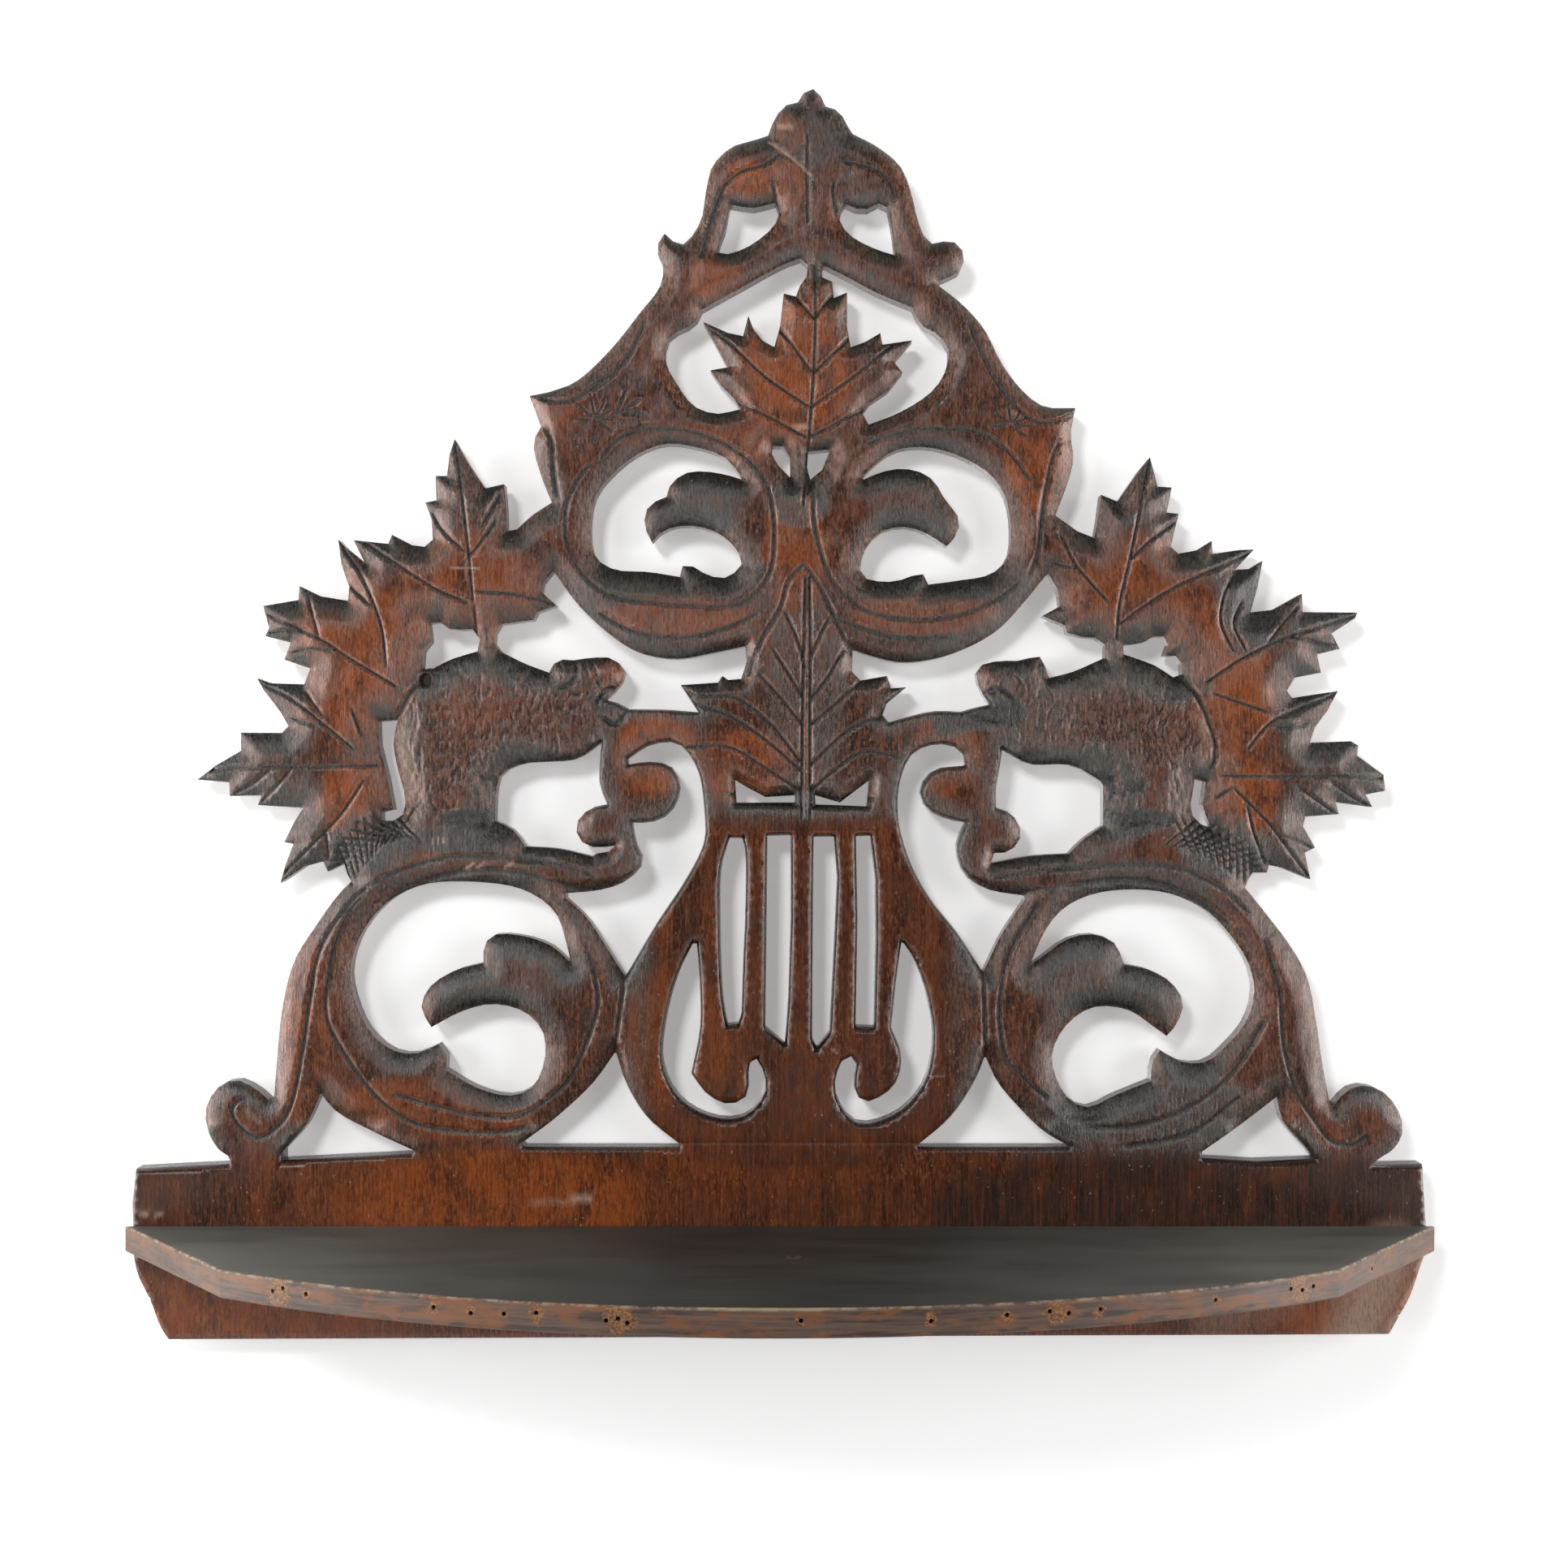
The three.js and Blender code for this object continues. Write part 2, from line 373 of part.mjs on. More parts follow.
// Loops stacked along Y, [y, loop], from back to front, closed by flat ends.
const signedArea = (loop) => loop.reduce((sum, [x, z], i) => {
  const [nx, nz] = loop[(i + 1) % loop.length];
  return sum + (x * nz - nx * z) / 2;
}, 0);
const stack = (layers) => {
  const turned = signedArea(layers[0][1]) < 0;
  const rings = layers.map(([y, loop]) => (turned ? [...loop].reverse() : loop)
    .map(([x, z]) => [x, y, z]));
  const count = rings[0].length;
  const triangles = [];
  for (let k = 0; k + 1 < rings.length; k += 1) {
    for (let i = 0; i < count; i += 1) {
      const j = (i + 1) % count;
      const back = k * count;
      const front = back + count;
      triangles.push([back + i, back + j, front + i], [back + j, front + j, front + i]);
    }
  }
  const flat = (ring) => THREE.ShapeUtils.triangulateShape(
    ring.map(([x, , z]) => new THREE.Vector2(x, z)), []);
  const last = (rings.length - 1) * count;
  flat(rings[0]).forEach(([a, b, c]) => triangles.push([a, c, b]));
  flat(rings[rings.length - 1]).forEach(([a, b, c]) => triangles.push([last + a, last + b, last + c]));
  return solid(rings.flat(), triangles);
};

// Bevelled loops. The bevel is never wider than a third of the wood that is left there.
const allLoops = [outerEdge, ...openings];
const edges = allLoops.flatMap((loop) => loop.map((p, i) => [p, loop[(i + 1) % loop.length]]));
const woodAhead = ([x, z], [dx, dz]) => {
  let nearest = Infinity;
  for (const [[ax, az], [bx, bz]] of edges) {
    const ex = bx - ax;
    const ez = bz - az;
    const cross = dx * ez - dz * ex;
    if (Math.abs(cross) > 1e-9) {
      const t = ((ax - x) * ez - (az - z) * ex) / cross;
      const u = ((ax - x) * dz - (az - z) * dx) / cross;
      if (t > 0.05 && u >= 0 && u <= 1 && t < nearest) nearest = t;
    }
  }
  return nearest;
};
const bevelled = (loop, woodInside) => {
  const side = (signedArea(loop) > 0) === woodInside ? 1 : -1;
  const normal = ([ax, az], [bx, bz]) => {
    const length = Math.hypot(bx - ax, bz - az);
    return [-(bz - az) / length * side, (bx - ax) / length * side];
  };
  return loop.map((p, i) => {
    const before = normal(loop[(i + loop.length - 1) % loop.length], p);
    const after = normal(p, loop[(i + 1) % loop.length]);
    const sum = [before[0] + after[0], before[1] + after[1]];
    const length = Math.max(Math.hypot(...sum), 0.35);
    const way = [sum[0] / length, sum[1] / length];
    const mitre = Math.min(2 / length, 1.6);
    const shift = Math.min(bevelWidth * mitre, woodAhead(p, way) * 0.3);
    return [p[0] + way[0] * shift, p[1] + way[1] * shift];
  });
};

// Screws are turned round the Y axis: head flush at y = 0, point towards -Y.
const screwSides = 20;
const screwProfile = ({ shank, head, headHeight, length }, grow = 0) => [
  [0, -length - grow],
  [shank / 4 + grow, 1.5 - length - grow],
  [shank / 2 + grow, 4 - length - grow],
  [shank / 2 + grow, -headHeight - grow],
  [head / 2 + grow, -0.4 - grow],
];
const turned = (profile) => new THREE.LatheGeometry(
  profile.map(([radius, y]) => new THREE.Vector2(radius, y)), screwSides);
const screwShape = (size) => turned([...screwProfile(size), [size.head / 2, 0], [0, 0]]);
const screwBore = (size) => {
  const mouth = size.head / 2 + screwClearance;
  return turned([...screwProfile(size, screwClearance), [mouth, 2], [0, 2]]);
};

// Places of the screws: [name, size, x, z] for those driven from behind.
const shelfUnderside = -shelfThickness;
const shelfMiddle = -shelfThickness / 2;
const shelfScrews = [-1.5, -0.5, 0.5, 1.5].map(
  (step, i) => [`shelf_screw_${i + 1}`, shelfScrew, step * shelfScrewPitch, shelfMiddle]);
const bracketScrews = [
  ['bracket_screw_upper', bracketScrew, bracketCentre, shelfUnderside - bracketHeight * 0.25],
  ['bracket_screw_lower', bracketScrew, bracketCentre, shelfUnderside - bracketHeight * 0.62],
];
const bored = (blank, screws) => screws.reduce((wood, [, size, x, z]) => wood.subtract(
  solidOf(screwBore(size).translate(x, -headSink, z))), blank);

// Back board
const face = -boardThickness;
const bevelStart = face + bevelDepth;
const openingCut = (loop) => {
  const narrow = placed(loop);
  const wide = placed(bevelled(loop, false));
  return stack([[1, narrow], [bevelStart, narrow], [face, wide], [face - 1, wide]]);
};
const edge = placed(outerEdge);
const boardBlank = stack([[0, edge], [bevelStart, edge], [face, placed(bevelled(outerEdge, true))]]);
const pierced = openings.reduce((wood, loop) => wood.subtract(openingCut(loop)), boardBlank);
const [holeX, holeZ] = at(hangingHolePlace);
const holeRadius = hangingHoleDiameter / 2;
const hangingHole = new THREE.CylinderGeometry(holeRadius, holeRadius, boardThickness + 2, 18);
hangingHole.translate(holeX, -boardThickness / 2, holeZ);
const board = bored(pierced.subtract(solidOf(hangingHole)), [...shelfScrews, ...bracketScrews]);

// Shelf: back edge on the board, clipped ends, bowed front.
const shelfHalf = carvingWidth / 2 + shelfOverhang;
const clipX = shelfHalf - shelfEndSetback;
const bowRadius = (clipX * clipX + shelfBow * shelfBow) / (2 * shelfBow);
const bowSweep = Math.asin(clipX / bowRadius);
const bowCentreY = face - shelfEndDepth + bowRadius * Math.cos(bowSweep);
const plan = new THREE.Shape();
plan.moveTo(-shelfHalf, face);
plan.lineTo(-clipX, face - shelfEndDepth);
plan.absarc(0, bowCentreY, bowRadius, -Math.PI / 2 - bowSweep, -Math.PI / 2 + bowSweep, false);
plan.lineTo(shelfHalf, face);
plan.closePath();
const shelfBlank = new THREE.ExtrudeGeometry(
  plan, { depth: shelfThickness, bevelEnabled: false, curveSegments: 32 });
shelfBlank.translate(0, 0, shelfUnderside);
const topScrewY = face - topScrewFromBoard;
const topScrewBore = solidOf(
  screwBore(topScrew).rotateX(Math.PI / 2).translate(bracketCentre, topScrewY, -headSink));
const shelf = bored(solidOf(shelfBlank), shelfScrews).subtract(topScrewBore);

// Bracket: its side, [distance from the board, height under the shelf], swept to its thickness.
const side = new THREE.Shape();
side.moveTo(0, 0);
side.lineTo(0, -bracketHeight);
side.bezierCurveTo(
  bracketReach * 0.2, -bracketHeight * 1.02, bracketReach * 0.3, -bracketHeight * 0.62,
  bracketReach * 0.5, -bracketHeight * 0.5);
side.bezierCurveTo(
  bracketReach * 0.7, -bracketHeight * 0.4, bracketReach * 0.86, -bracketNose * 1.3,
  bracketReach, -bracketNose);
side.lineTo(bracketReach, 0);
side.closePath();
const bracketBlank = new THREE.ExtrudeGeometry(
  side, { depth: bracketThickness, bevelEnabled: false, curveSegments: 10 });
bracketBlank.translate(0, 0, -bracketThickness / 2);
bracketBlank.rotateX(Math.PI / 2);
bracketBlank.rotateZ(-Math.PI / 2);
bracketBlank.translate(bracketCentre, face, shelfUnderside);
const bracket = bored(solidOf(bracketBlank), bracketScrews).subtract(topScrewBore);

// The assembled shelf
const carvedWood = new THREE.MeshStandardMaterial({ color: 0x5c3020, roughness: 0.5, metalness: 0 });
const paintedWood = new THREE.MeshStandardMaterial({ color: 0x2e2c28, roughness: 0.45, metalness: 0 });
const plainWood = new THREE.MeshStandardMaterial({ color: 0x4a2c1c, roughness: 0.7, metalness: 0 });
const steel = new THREE.MeshStandardMaterial({ color: 0x77736c, roughness: 0.45, metalness: 0.9 });

const shelfGroup = new THREE.Group();
const addPiece = (name, geometry, material) => {
  const mesh = new THREE.Mesh(geometry, material);
  mesh.name = name;
  shelfGroup.add(mesh);
  return mesh;
};
addPiece('carved_back_panel', geometryOf(board), carvedWood);
addPiece('shelf_board', geometryOf(shelf), paintedWood);
addPiece('shelf_bracket', geometryOf(bracket), plainWood);
for (const [name, size, x, z] of [...shelfScrews, ...bracketScrews]) {
  addPiece(name, screwShape(size), steel).position.set(x, -headSink, z);
}
const topScrewPiece = addPiece('bracket_top_screw', screwShape(topScrew), steel);
topScrewPiece.rotation.x = Math.PI / 2;
topScrewPiece.position.set(bracketCentre, topScrewY, -headSink);

export default shelfGroup;
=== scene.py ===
# %% [markdown]
# # A carved wall shelf
# The real thing is one thin board, sawn out and pierced, then carved in low relief with two
# beavers, a lyre, scrolled rings and maple leaves, and a bow-fronted shelf screwed on in front.
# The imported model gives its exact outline, its piercings and its sizes. This lesson carves the
# front of that board in mesh code, wears the shelf, and gives every surface its wood or steel.

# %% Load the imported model
import math

import bmesh
import bpy
import numpy as np
from mathutils import Matrix, Vector, noise
from mathutils.geometry import delaunay_2d_cdt
from mathutils.kdtree import KDTree


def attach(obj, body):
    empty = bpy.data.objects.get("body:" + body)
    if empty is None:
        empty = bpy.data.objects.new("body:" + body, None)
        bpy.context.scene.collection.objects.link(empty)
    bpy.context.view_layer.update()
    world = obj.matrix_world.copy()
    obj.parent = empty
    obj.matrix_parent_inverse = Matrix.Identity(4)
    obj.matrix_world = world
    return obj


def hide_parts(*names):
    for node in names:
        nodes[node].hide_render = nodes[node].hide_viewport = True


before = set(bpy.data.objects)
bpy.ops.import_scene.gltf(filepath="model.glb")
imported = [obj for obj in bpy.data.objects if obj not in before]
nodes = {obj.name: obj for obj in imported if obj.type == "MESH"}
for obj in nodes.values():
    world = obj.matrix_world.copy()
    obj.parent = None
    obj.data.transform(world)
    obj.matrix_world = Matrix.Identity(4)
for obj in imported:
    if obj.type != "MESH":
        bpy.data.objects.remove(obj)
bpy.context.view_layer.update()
MM = 0.001
print("nodes:", ", ".join(sorted(nodes)))

# %% [markdown]
# ## Wood cut away in steps
# Low relief is made with two kinds of cut. A *margin* is a slope that runs from the flat top of
# the board down to the sawn edge. A *vein* is a V-shaped groove along a drawn line. Both can be
# worked out for any point of the front from two distances: to the sawn edge, and to the line.
# So the front is laid out as many small triangles, and each corner is pushed in by the depth
# of the cuts there. Sculpting by hand would look alike, but could not be repeated.

# %% Board sizes, in millimetres
BOARD_FACE = -13.0
RIM = -8.9
MARGIN_DEPTH = RIM - BOARD_FACE
DEEPEST_CUT = -6.5
SAME_POINT = 0.001
print("the margins go", round(MARGIN_DEPTH, 1), "mm down into the board")


# %% Smooth lines through a few points
PIECES_PER_STRETCH = 10
LINE_STEP = 0.9


def curve_through(points, step):
    """Evenly spaced points along a smooth curve; a line of two points stays straight."""
    p = np.array(points, float)
    if len(p) == 2:
        dense = p
    else:
        q = np.vstack([2 * p[0] - p[1], p, 2 * p[-1] - p[-2]])
        t = np.linspace(0, 1, PIECES_PER_STRETCH, endpoint=False)[:, None]
        stretches = [
            0.5 * (2 * b + (c - a) * t + (2 * a - 5 * b + 4 * c - d) * t**2
                   + (3 * b - a - 3 * c + d) * t**3)
            for a, b, c, d in zip(q, q[1:], q[2:], q[3:])
        ]
        dense = np.vstack([*stretches, p[-1:]])
    lengths = np.hypot(*np.diff(dense, axis=0).T)
    run = np.concatenate([[0], np.cumsum(lengths)])
    marks = np.linspace(0, run[-1], max(3, round(run[-1] / step) + 1))
    return np.column_stack([np.interp(marks, run, dense[:, i]) for i in (0, 1)])


def nearest_on(line, points):
    """Distance of each point from a line, how far along the line, and the line's length."""
    gap = np.full(len(points), np.inf)
    along = np.zeros(len(points))
    run = 0.0
    for a, b in zip(line, line[1:]):
        length = np.hypot(*(b - a))
        t = np.clip((points - a) @ (b - a) / length**2, 0, 1)
        here = np.hypot(*(points - a - t[:, None] * (b - a)).T)
        closer = here < gap
        gap = np.where(closer, here, gap)
        along = np.where(closer, run + t * length, along)
        run += length
    return gap, along, run


# %% [markdown]
# ## The drawing on the board
# These are the lines that the carver cut, measured in millimetres across and up from the middle
# of the shelf's top. Only the points that a line needs are kept, and a curve runs through them.

# %% Veins of the leaves
leaf_veins = [
    [(-119.5, 243), (-121.3, 263), (-124.5, 290), (-126.9, 304)],
    [(-121.4, 242), (-134, 247.5), (-146, 255), (-161.6, 265.6)],
    [(-118, 246.5), (-104, 245.5), (-88, 241.5)],
    [(-115.9, 272), (-109.2, 284.5)],
    [(-119, 240), (-118.3, 229)],
    [(-122.5, 258), (-116, 266), (-111, 274)],
    [(-122.8, 262), (-131, 270), (-135.5, 277)],
    [(-171.9, 265.6), (-162.4, 251.4), (-156.9, 238.8), (-154.5, 230), (-153.3, 218)],
    [(-167.9, 249), (-159.3, 241.2)],
    [(-148.5, 209), (-166.6, 219.9), (-179.4, 228.2), (-199.7, 237.6)],
    [(-183.9, 244), (-179.4, 228.6)],
    [(-189.9, 222.9), (-183.1, 224.4), (-173.5, 223.5)],
    [(-199, 230.6), (-189, 231), (-184, 230.5)],
    [(-228, 176.5), (-201.9, 178.2), (-179.4, 178.2), (-156.8, 178.9)],
    [(-201.5, 210), (-189.9, 204.4), (-175.6, 193.2), (-165.8, 185)],
    [(-185.4, 207.9), (-177.9, 198.1)],
    [(-189.9, 197), (-179.4, 194)],
    [(-162.1, 172.6), (-169.6, 161.3), (-177.1, 153), (-193.7, 136.5)],
    [(-166.6, 200.8), (-163.2, 190.6)],
    [(-213, 168.2), (-206, 171.2), (-198, 177.6)],
    [(-202, 165), (-196, 170.5), (-190, 177.8)],
    [(-176.5, 152.8), (-176, 142)],
    [(131, 227.7), (132.2, 241.9), (136.5, 260.9), (142.1, 289.3), (144.2, 298)],
    [(132.2, 233.7), (141.3, 240.4), (155.5, 249), (183.9, 261.7)],
    [(136.5, 258.9), (145.2, 267.2), (153.9, 273.5)],
    [(127.1, 242.7), (120.8, 249.8), (114.4, 257.7), (108.9, 268.8)],
    [(106.6, 257.7), (115, 255.5)],
    [(165.8, 211.1), (180.4, 220.6), (197.7, 228.8), (224.5, 237.1)],
    [(198, 229), (209, 226.3), (217, 226)],
    [(190, 226.5), (196, 234), (202, 241)],
    [(168, 207), (178, 203.5), (190, 199.5)],
    [(172.5, 174.8), (200.9, 174.6), (216.6, 174.8), (235.6, 173.6)],
    [(181.9, 185.1), (189.8, 194.5), (197.7, 198.9), (216.6, 206.4)],
    [(192, 193.6), (200, 193.8), (206, 195.3)],
    [(176.4, 170.1), (189.8, 156.7), (197.7, 146.4), (206.4, 135.4)],
    [(181.9, 163), (184.3, 152.7), (189, 140.1)],
    [(201, 171), (208, 166), (216, 160.5)],
    [(214, 173), (221, 168), (229, 163.5)],
    [(170, 166), (176, 170)],
    [(194, 152), (201, 149.5), (207, 147)],
    [(176, 224), (171.5, 234), (172.5, 244), (176, 252)],
    [(181, 224), (176.5, 234), (180, 243)],
]
centre_veins = [
    [(9.8, 252), (9.3, 225), (8.7, 195), (8.4, 158)],
    [(11.4, 252), (11.7, 225), (11.6, 195), (11.6, 158)],
    [(-45, 205), (-22, 199), (-6, 189), (9, 176)],
    [(-32, 206), (-17, 205), (-3, 194), (8, 180)],
    [(-36, 186), (-20, 186), (-6, 178), (9, 168)],
    [(-20, 168), (-8, 165), (8, 163)],
    [(57, 206), (41, 199), (26, 192), (11, 178)],
    [(47, 182), (32, 184), (20, 176), (11, 168)],
    [(36, 166), (24, 166), (12, 162)],
    [(2, 238), (6.5, 228), (10, 216)],
    [(-3, 224), (3.5, 214), (9.5, 204)],
    [(-8, 214), (1, 204), (9, 194)],
    [(19, 236), (14.5, 227), (11, 218)],
    [(25, 224), (18.5, 213), (11, 203)],
    [(32, 212), (22, 203), (11.5, 194)],
    [(13.5, 374), (13.7, 350), (12.7, 325), (9, 280)],
    [(12.6, 331), (2, 346), (-6, 356)],
    [(13, 331), (24, 342), (33, 352)],
    [(11.6, 318), (-6, 330), (-22, 345), (-31, 350)],
    [(12, 318), (30, 331), (47, 345)],
    [(11, 306), (-12, 318), (-33, 327)],
    [(11, 306), (30, 316), (50, 325)],
    [(13.4, 352), (7, 360), (3, 366)],
    [(13.6, 352), (19, 360), (24, 365)],
]
print(len(leaf_veins), "veins in the leaves at the sides,", len(centre_veins), "in the middle")

# %% Lines along the rings, bands and volutes
ring_lines = [
    [(-74, 296), (-80, 288), (-83.3, 278), (-83.1, 266), (-78.6, 255.6), (-70, 247),
     (-60, 243.5), (-48, 242), (-34, 241), (-23.4, 240.6), (-13.1, 243), (-5.8, 250.1),
     (-2.8, 259), (-2.3, 270), (-3.5, 282), (-7.6, 292), (-15, 300), (-27, 306.5), (-40, 309.5),
     (-52, 309.5), (-60, 307.5), (-66, 303), (-70, 298)],
    [(-70, 238), (-58, 231.5), (-46, 228.8), (-34, 229), (-20, 233), (-8, 238)],
    [(-91, 311), (-88.5, 303), (-88, 293), (-86.5, 283)],
    [(13, 285), (13, 275), (15, 265), (18, 255), (22, 248), (30, 241), (40, 237), (50, 235.8),
     (62, 236), (75, 239), (85, 244), (93, 250)],
    [(22, 236), (30, 233), (42, 229.5), (52, 228.5), (66, 228.8)],
    [(34, 304), (44, 307.5), (53.2, 309.6), (62, 310), (75, 309), (85, 304), (91, 298), (97, 290)],
    [(109, 305), (106, 298), (103.3, 286), (101.5, 274), (100.3, 262), (97, 253)],
    [(-93, 321), (-86, 320.5), (-80, 321), (-72, 326), (-64, 332), (-57, 341), (-52, 352)],
    [(114, 316), (110, 313.5), (104, 312), (98, 313), (92, 318), (86, 325), (81, 333),
     (77, 342), (73, 352)],
    [(9, 257), (3, 250), (0, 240), (-7, 228), (-12, 214)],
    [(9, 257), (13, 252), (18, 243), (23, 232), (28, 222)],
    [(-156, 134), (-165.3, 127.3), (-174.6, 115.3), (-179.9, 104), (-182.3, 90.8), (-187, 60.1),
     (-190.5, 46), (-195.3, 38.5), (-201.8, 34.1), (-207.4, 36.1), (-211.8, 40.5), (-213, 45),
     (-211, 48.4), (-207.8, 49)],
    [(-161.3, 128.6), (-167.3, 122), (-172.6, 111), (-175.4, 99), (-176, 79.8), (-165, 60.1),
     (-153.1, 46.7), (-137.4, 38.4), (-112, 36), (-98, 38)],
    [(-150, 51), (-130, 45.5), (-115, 42.3), (-100, 43), (-90, 49)],
    [(-74.3, 105), (-71.1, 90.8), (-72.3, 79.8), (-80.6, 59.3), (-91, 48)],
    [(-163, 130), (-150, 137), (-130, 143), (-110, 143.2), (-90, 141), (-72, 136)],
    [(-158, 124), (-140, 133), (-120, 137.8), (-100, 137), (-84, 132), (-66, 128)],
    [(188, 112), (194, 92), (196, 70), (201, 52), (208.9, 39.7), (214.5, 32.8), (222.3, 31.5),
     (228.3, 35)],
    [(102, 127), (95, 116), (90, 107), (87, 97), (85.3, 85), (86, 73), (89, 64), (96, 56),
     (104, 49)],
    [(118, 38.5), (135, 38), (150, 42), (164, 49), (178, 62), (189, 80)],
    [(133, 30.5), (150, 33), (163, 38), (178, 50)],
    [(82, 135), (110, 139), (140, 140.5), (156, 138.5), (170, 132), (182, 122)],
    [(92, 128), (112, 132), (138, 134), (160, 128), (176, 117)],
    [(-60.5, 96.4), (-62.5, 82), (-64.5, 66.6)],
    [(78.7, 98.5), (79.4, 87.7), (80.1, 64.8)],
]
crest_lines = [
    [(-31, 376), (-28, 386), (-25, 396), (-21.5, 404), (-15, 409.5), (-7, 412), (0, 416)],
    [(24, 414), (32, 412), (38, 410), (42.5, 405), (45, 399)],
    [(10.6, 424), (10.4, 408), (10.6, 390)],
    [(-3, 405), (-1.5, 399), (0, 393)],
    [(21, 406), (20.5, 400), (22, 393)],
    [(-60, 318), (-54, 321.5)],
    [(-62, 315.5), (-52, 316.2)],
    [(-60, 325), (-63.5, 316)],
]
beaver_lines = [
    [(-79.4, 219), (-79.6, 214), (-82, 210.4), (-87, 208.6)],
    [(-62.5, 208.5), (-67, 208.5), (-70.5, 206), (-71, 202.5)],
    [(-72, 212.5), (-70, 209.5)],
    [(-70, 198), (-64, 195), (-60, 199)],
    [(101, 221), (101.5, 216), (104, 212.5), (109, 213)],
    [(80, 207), (86, 208.5), (90, 205.5), (91.5, 201.5)],
    [(92, 213), (94.5, 210)],
    [(88, 196), (80, 197), (72, 198)],
]
# Wide, shallow hollows under the beavers' bellies, darkened as painted shade.
hollows_with_painted_shade = [
    [(-118, 174), (-110, 171), (-102, 171.5)],
    [(-134, 158), (-124, 158.5), (-114, 157)],
    [(143, 172), (134, 170), (127, 173)],
    [(154, 158), (144, 158.5), (132, 157)],
]
rump_lines = [
    [(-140.5, 211.5), (-143.5, 207.5), (-146.8, 201.7), (-149.5, 197)],
    [(158.3, 211.8), (163.3, 203.8), (166.7, 195.8), (169.1, 188.8), (169.3, 181.8),
     (167.9, 177.8)],
]
print(len(ring_lines) + len(crest_lines) + len(beaver_lines), "lines on rings, crest and beavers")

# %% Lines cut across each other: the beavers' tails and the stars in the spandrels
tails = [
    [(-146, 156), (-153, 155), (-160, 151), (-167, 143), (-171, 137)],
    [(156, 153), (164, 151), (172, 147), (180, 141), (186, 137)],
]
TAIL_WIDTH = 13.0
TAIL_PITCH = 3.3
TAIL_SLANT = 1.6
STAR_CENTRES = ((-72, 313.5), (90, 310.8))
STAR_ANGLES = (0, 28, 60, 100, 140, 180, 325)
STAR_RAY = (1.2, 8)
tail_cuts = []
for spine in tails:
    path = curve_through(spine, TAIL_PITCH)
    for before, after in zip(path, path[1:]):
        way = (after - before) / np.hypot(*(after - before))
        across = np.array([-way[1], way[0]]) * TAIL_WIDTH / 2
        for slant in (-1, 1):
            lean = way * slant * TAIL_PITCH * TAIL_SLANT
            tail_cuts.append([tuple(before - across - lean), tuple(before + across + lean)])
star_cuts = []
for middle in np.array(STAR_CENTRES):
    for angle in STAR_ANGLES:
        turn = math.radians(angle)
        way = np.array([math.cos(turn), math.sin(turn)])
        star_cuts.append([tuple(middle + way * reach) for reach in STAR_RAY])
print(len(tail_cuts), "cuts on the tails and", len(star_cuts), "in the stars")

# %% Every line with its half width, its depth and how dark the wax in it is (painted shade in the hollows)
CUTS = (
    [(line, 0.8, 1.4, 1) for line in leaf_veins + centre_veins]
    + [(line, 1.1, 1.4, 0.85) for line in ring_lines]
    + [(line, 0.9, 1.1, 1) for line in crest_lines]
    + [(line, 1.7, 1.0, 0.9) for line in beaver_lines]
    # The darkness given to the hollows is painted shade.
    + [(line, 3.6, 1.1, 0.6) for line in hollows_with_painted_shade]
    + [(line, 1.4, 1.7, 0.8) for line in rump_lines]
    + [(line, 0.6, 0.8, 1) for line in tail_cuts + star_cuts]
)
cuts = [(curve_through(line, LINE_STEP), *how) for line, *how in CUTS]
print(len(cuts), "cuts to make")
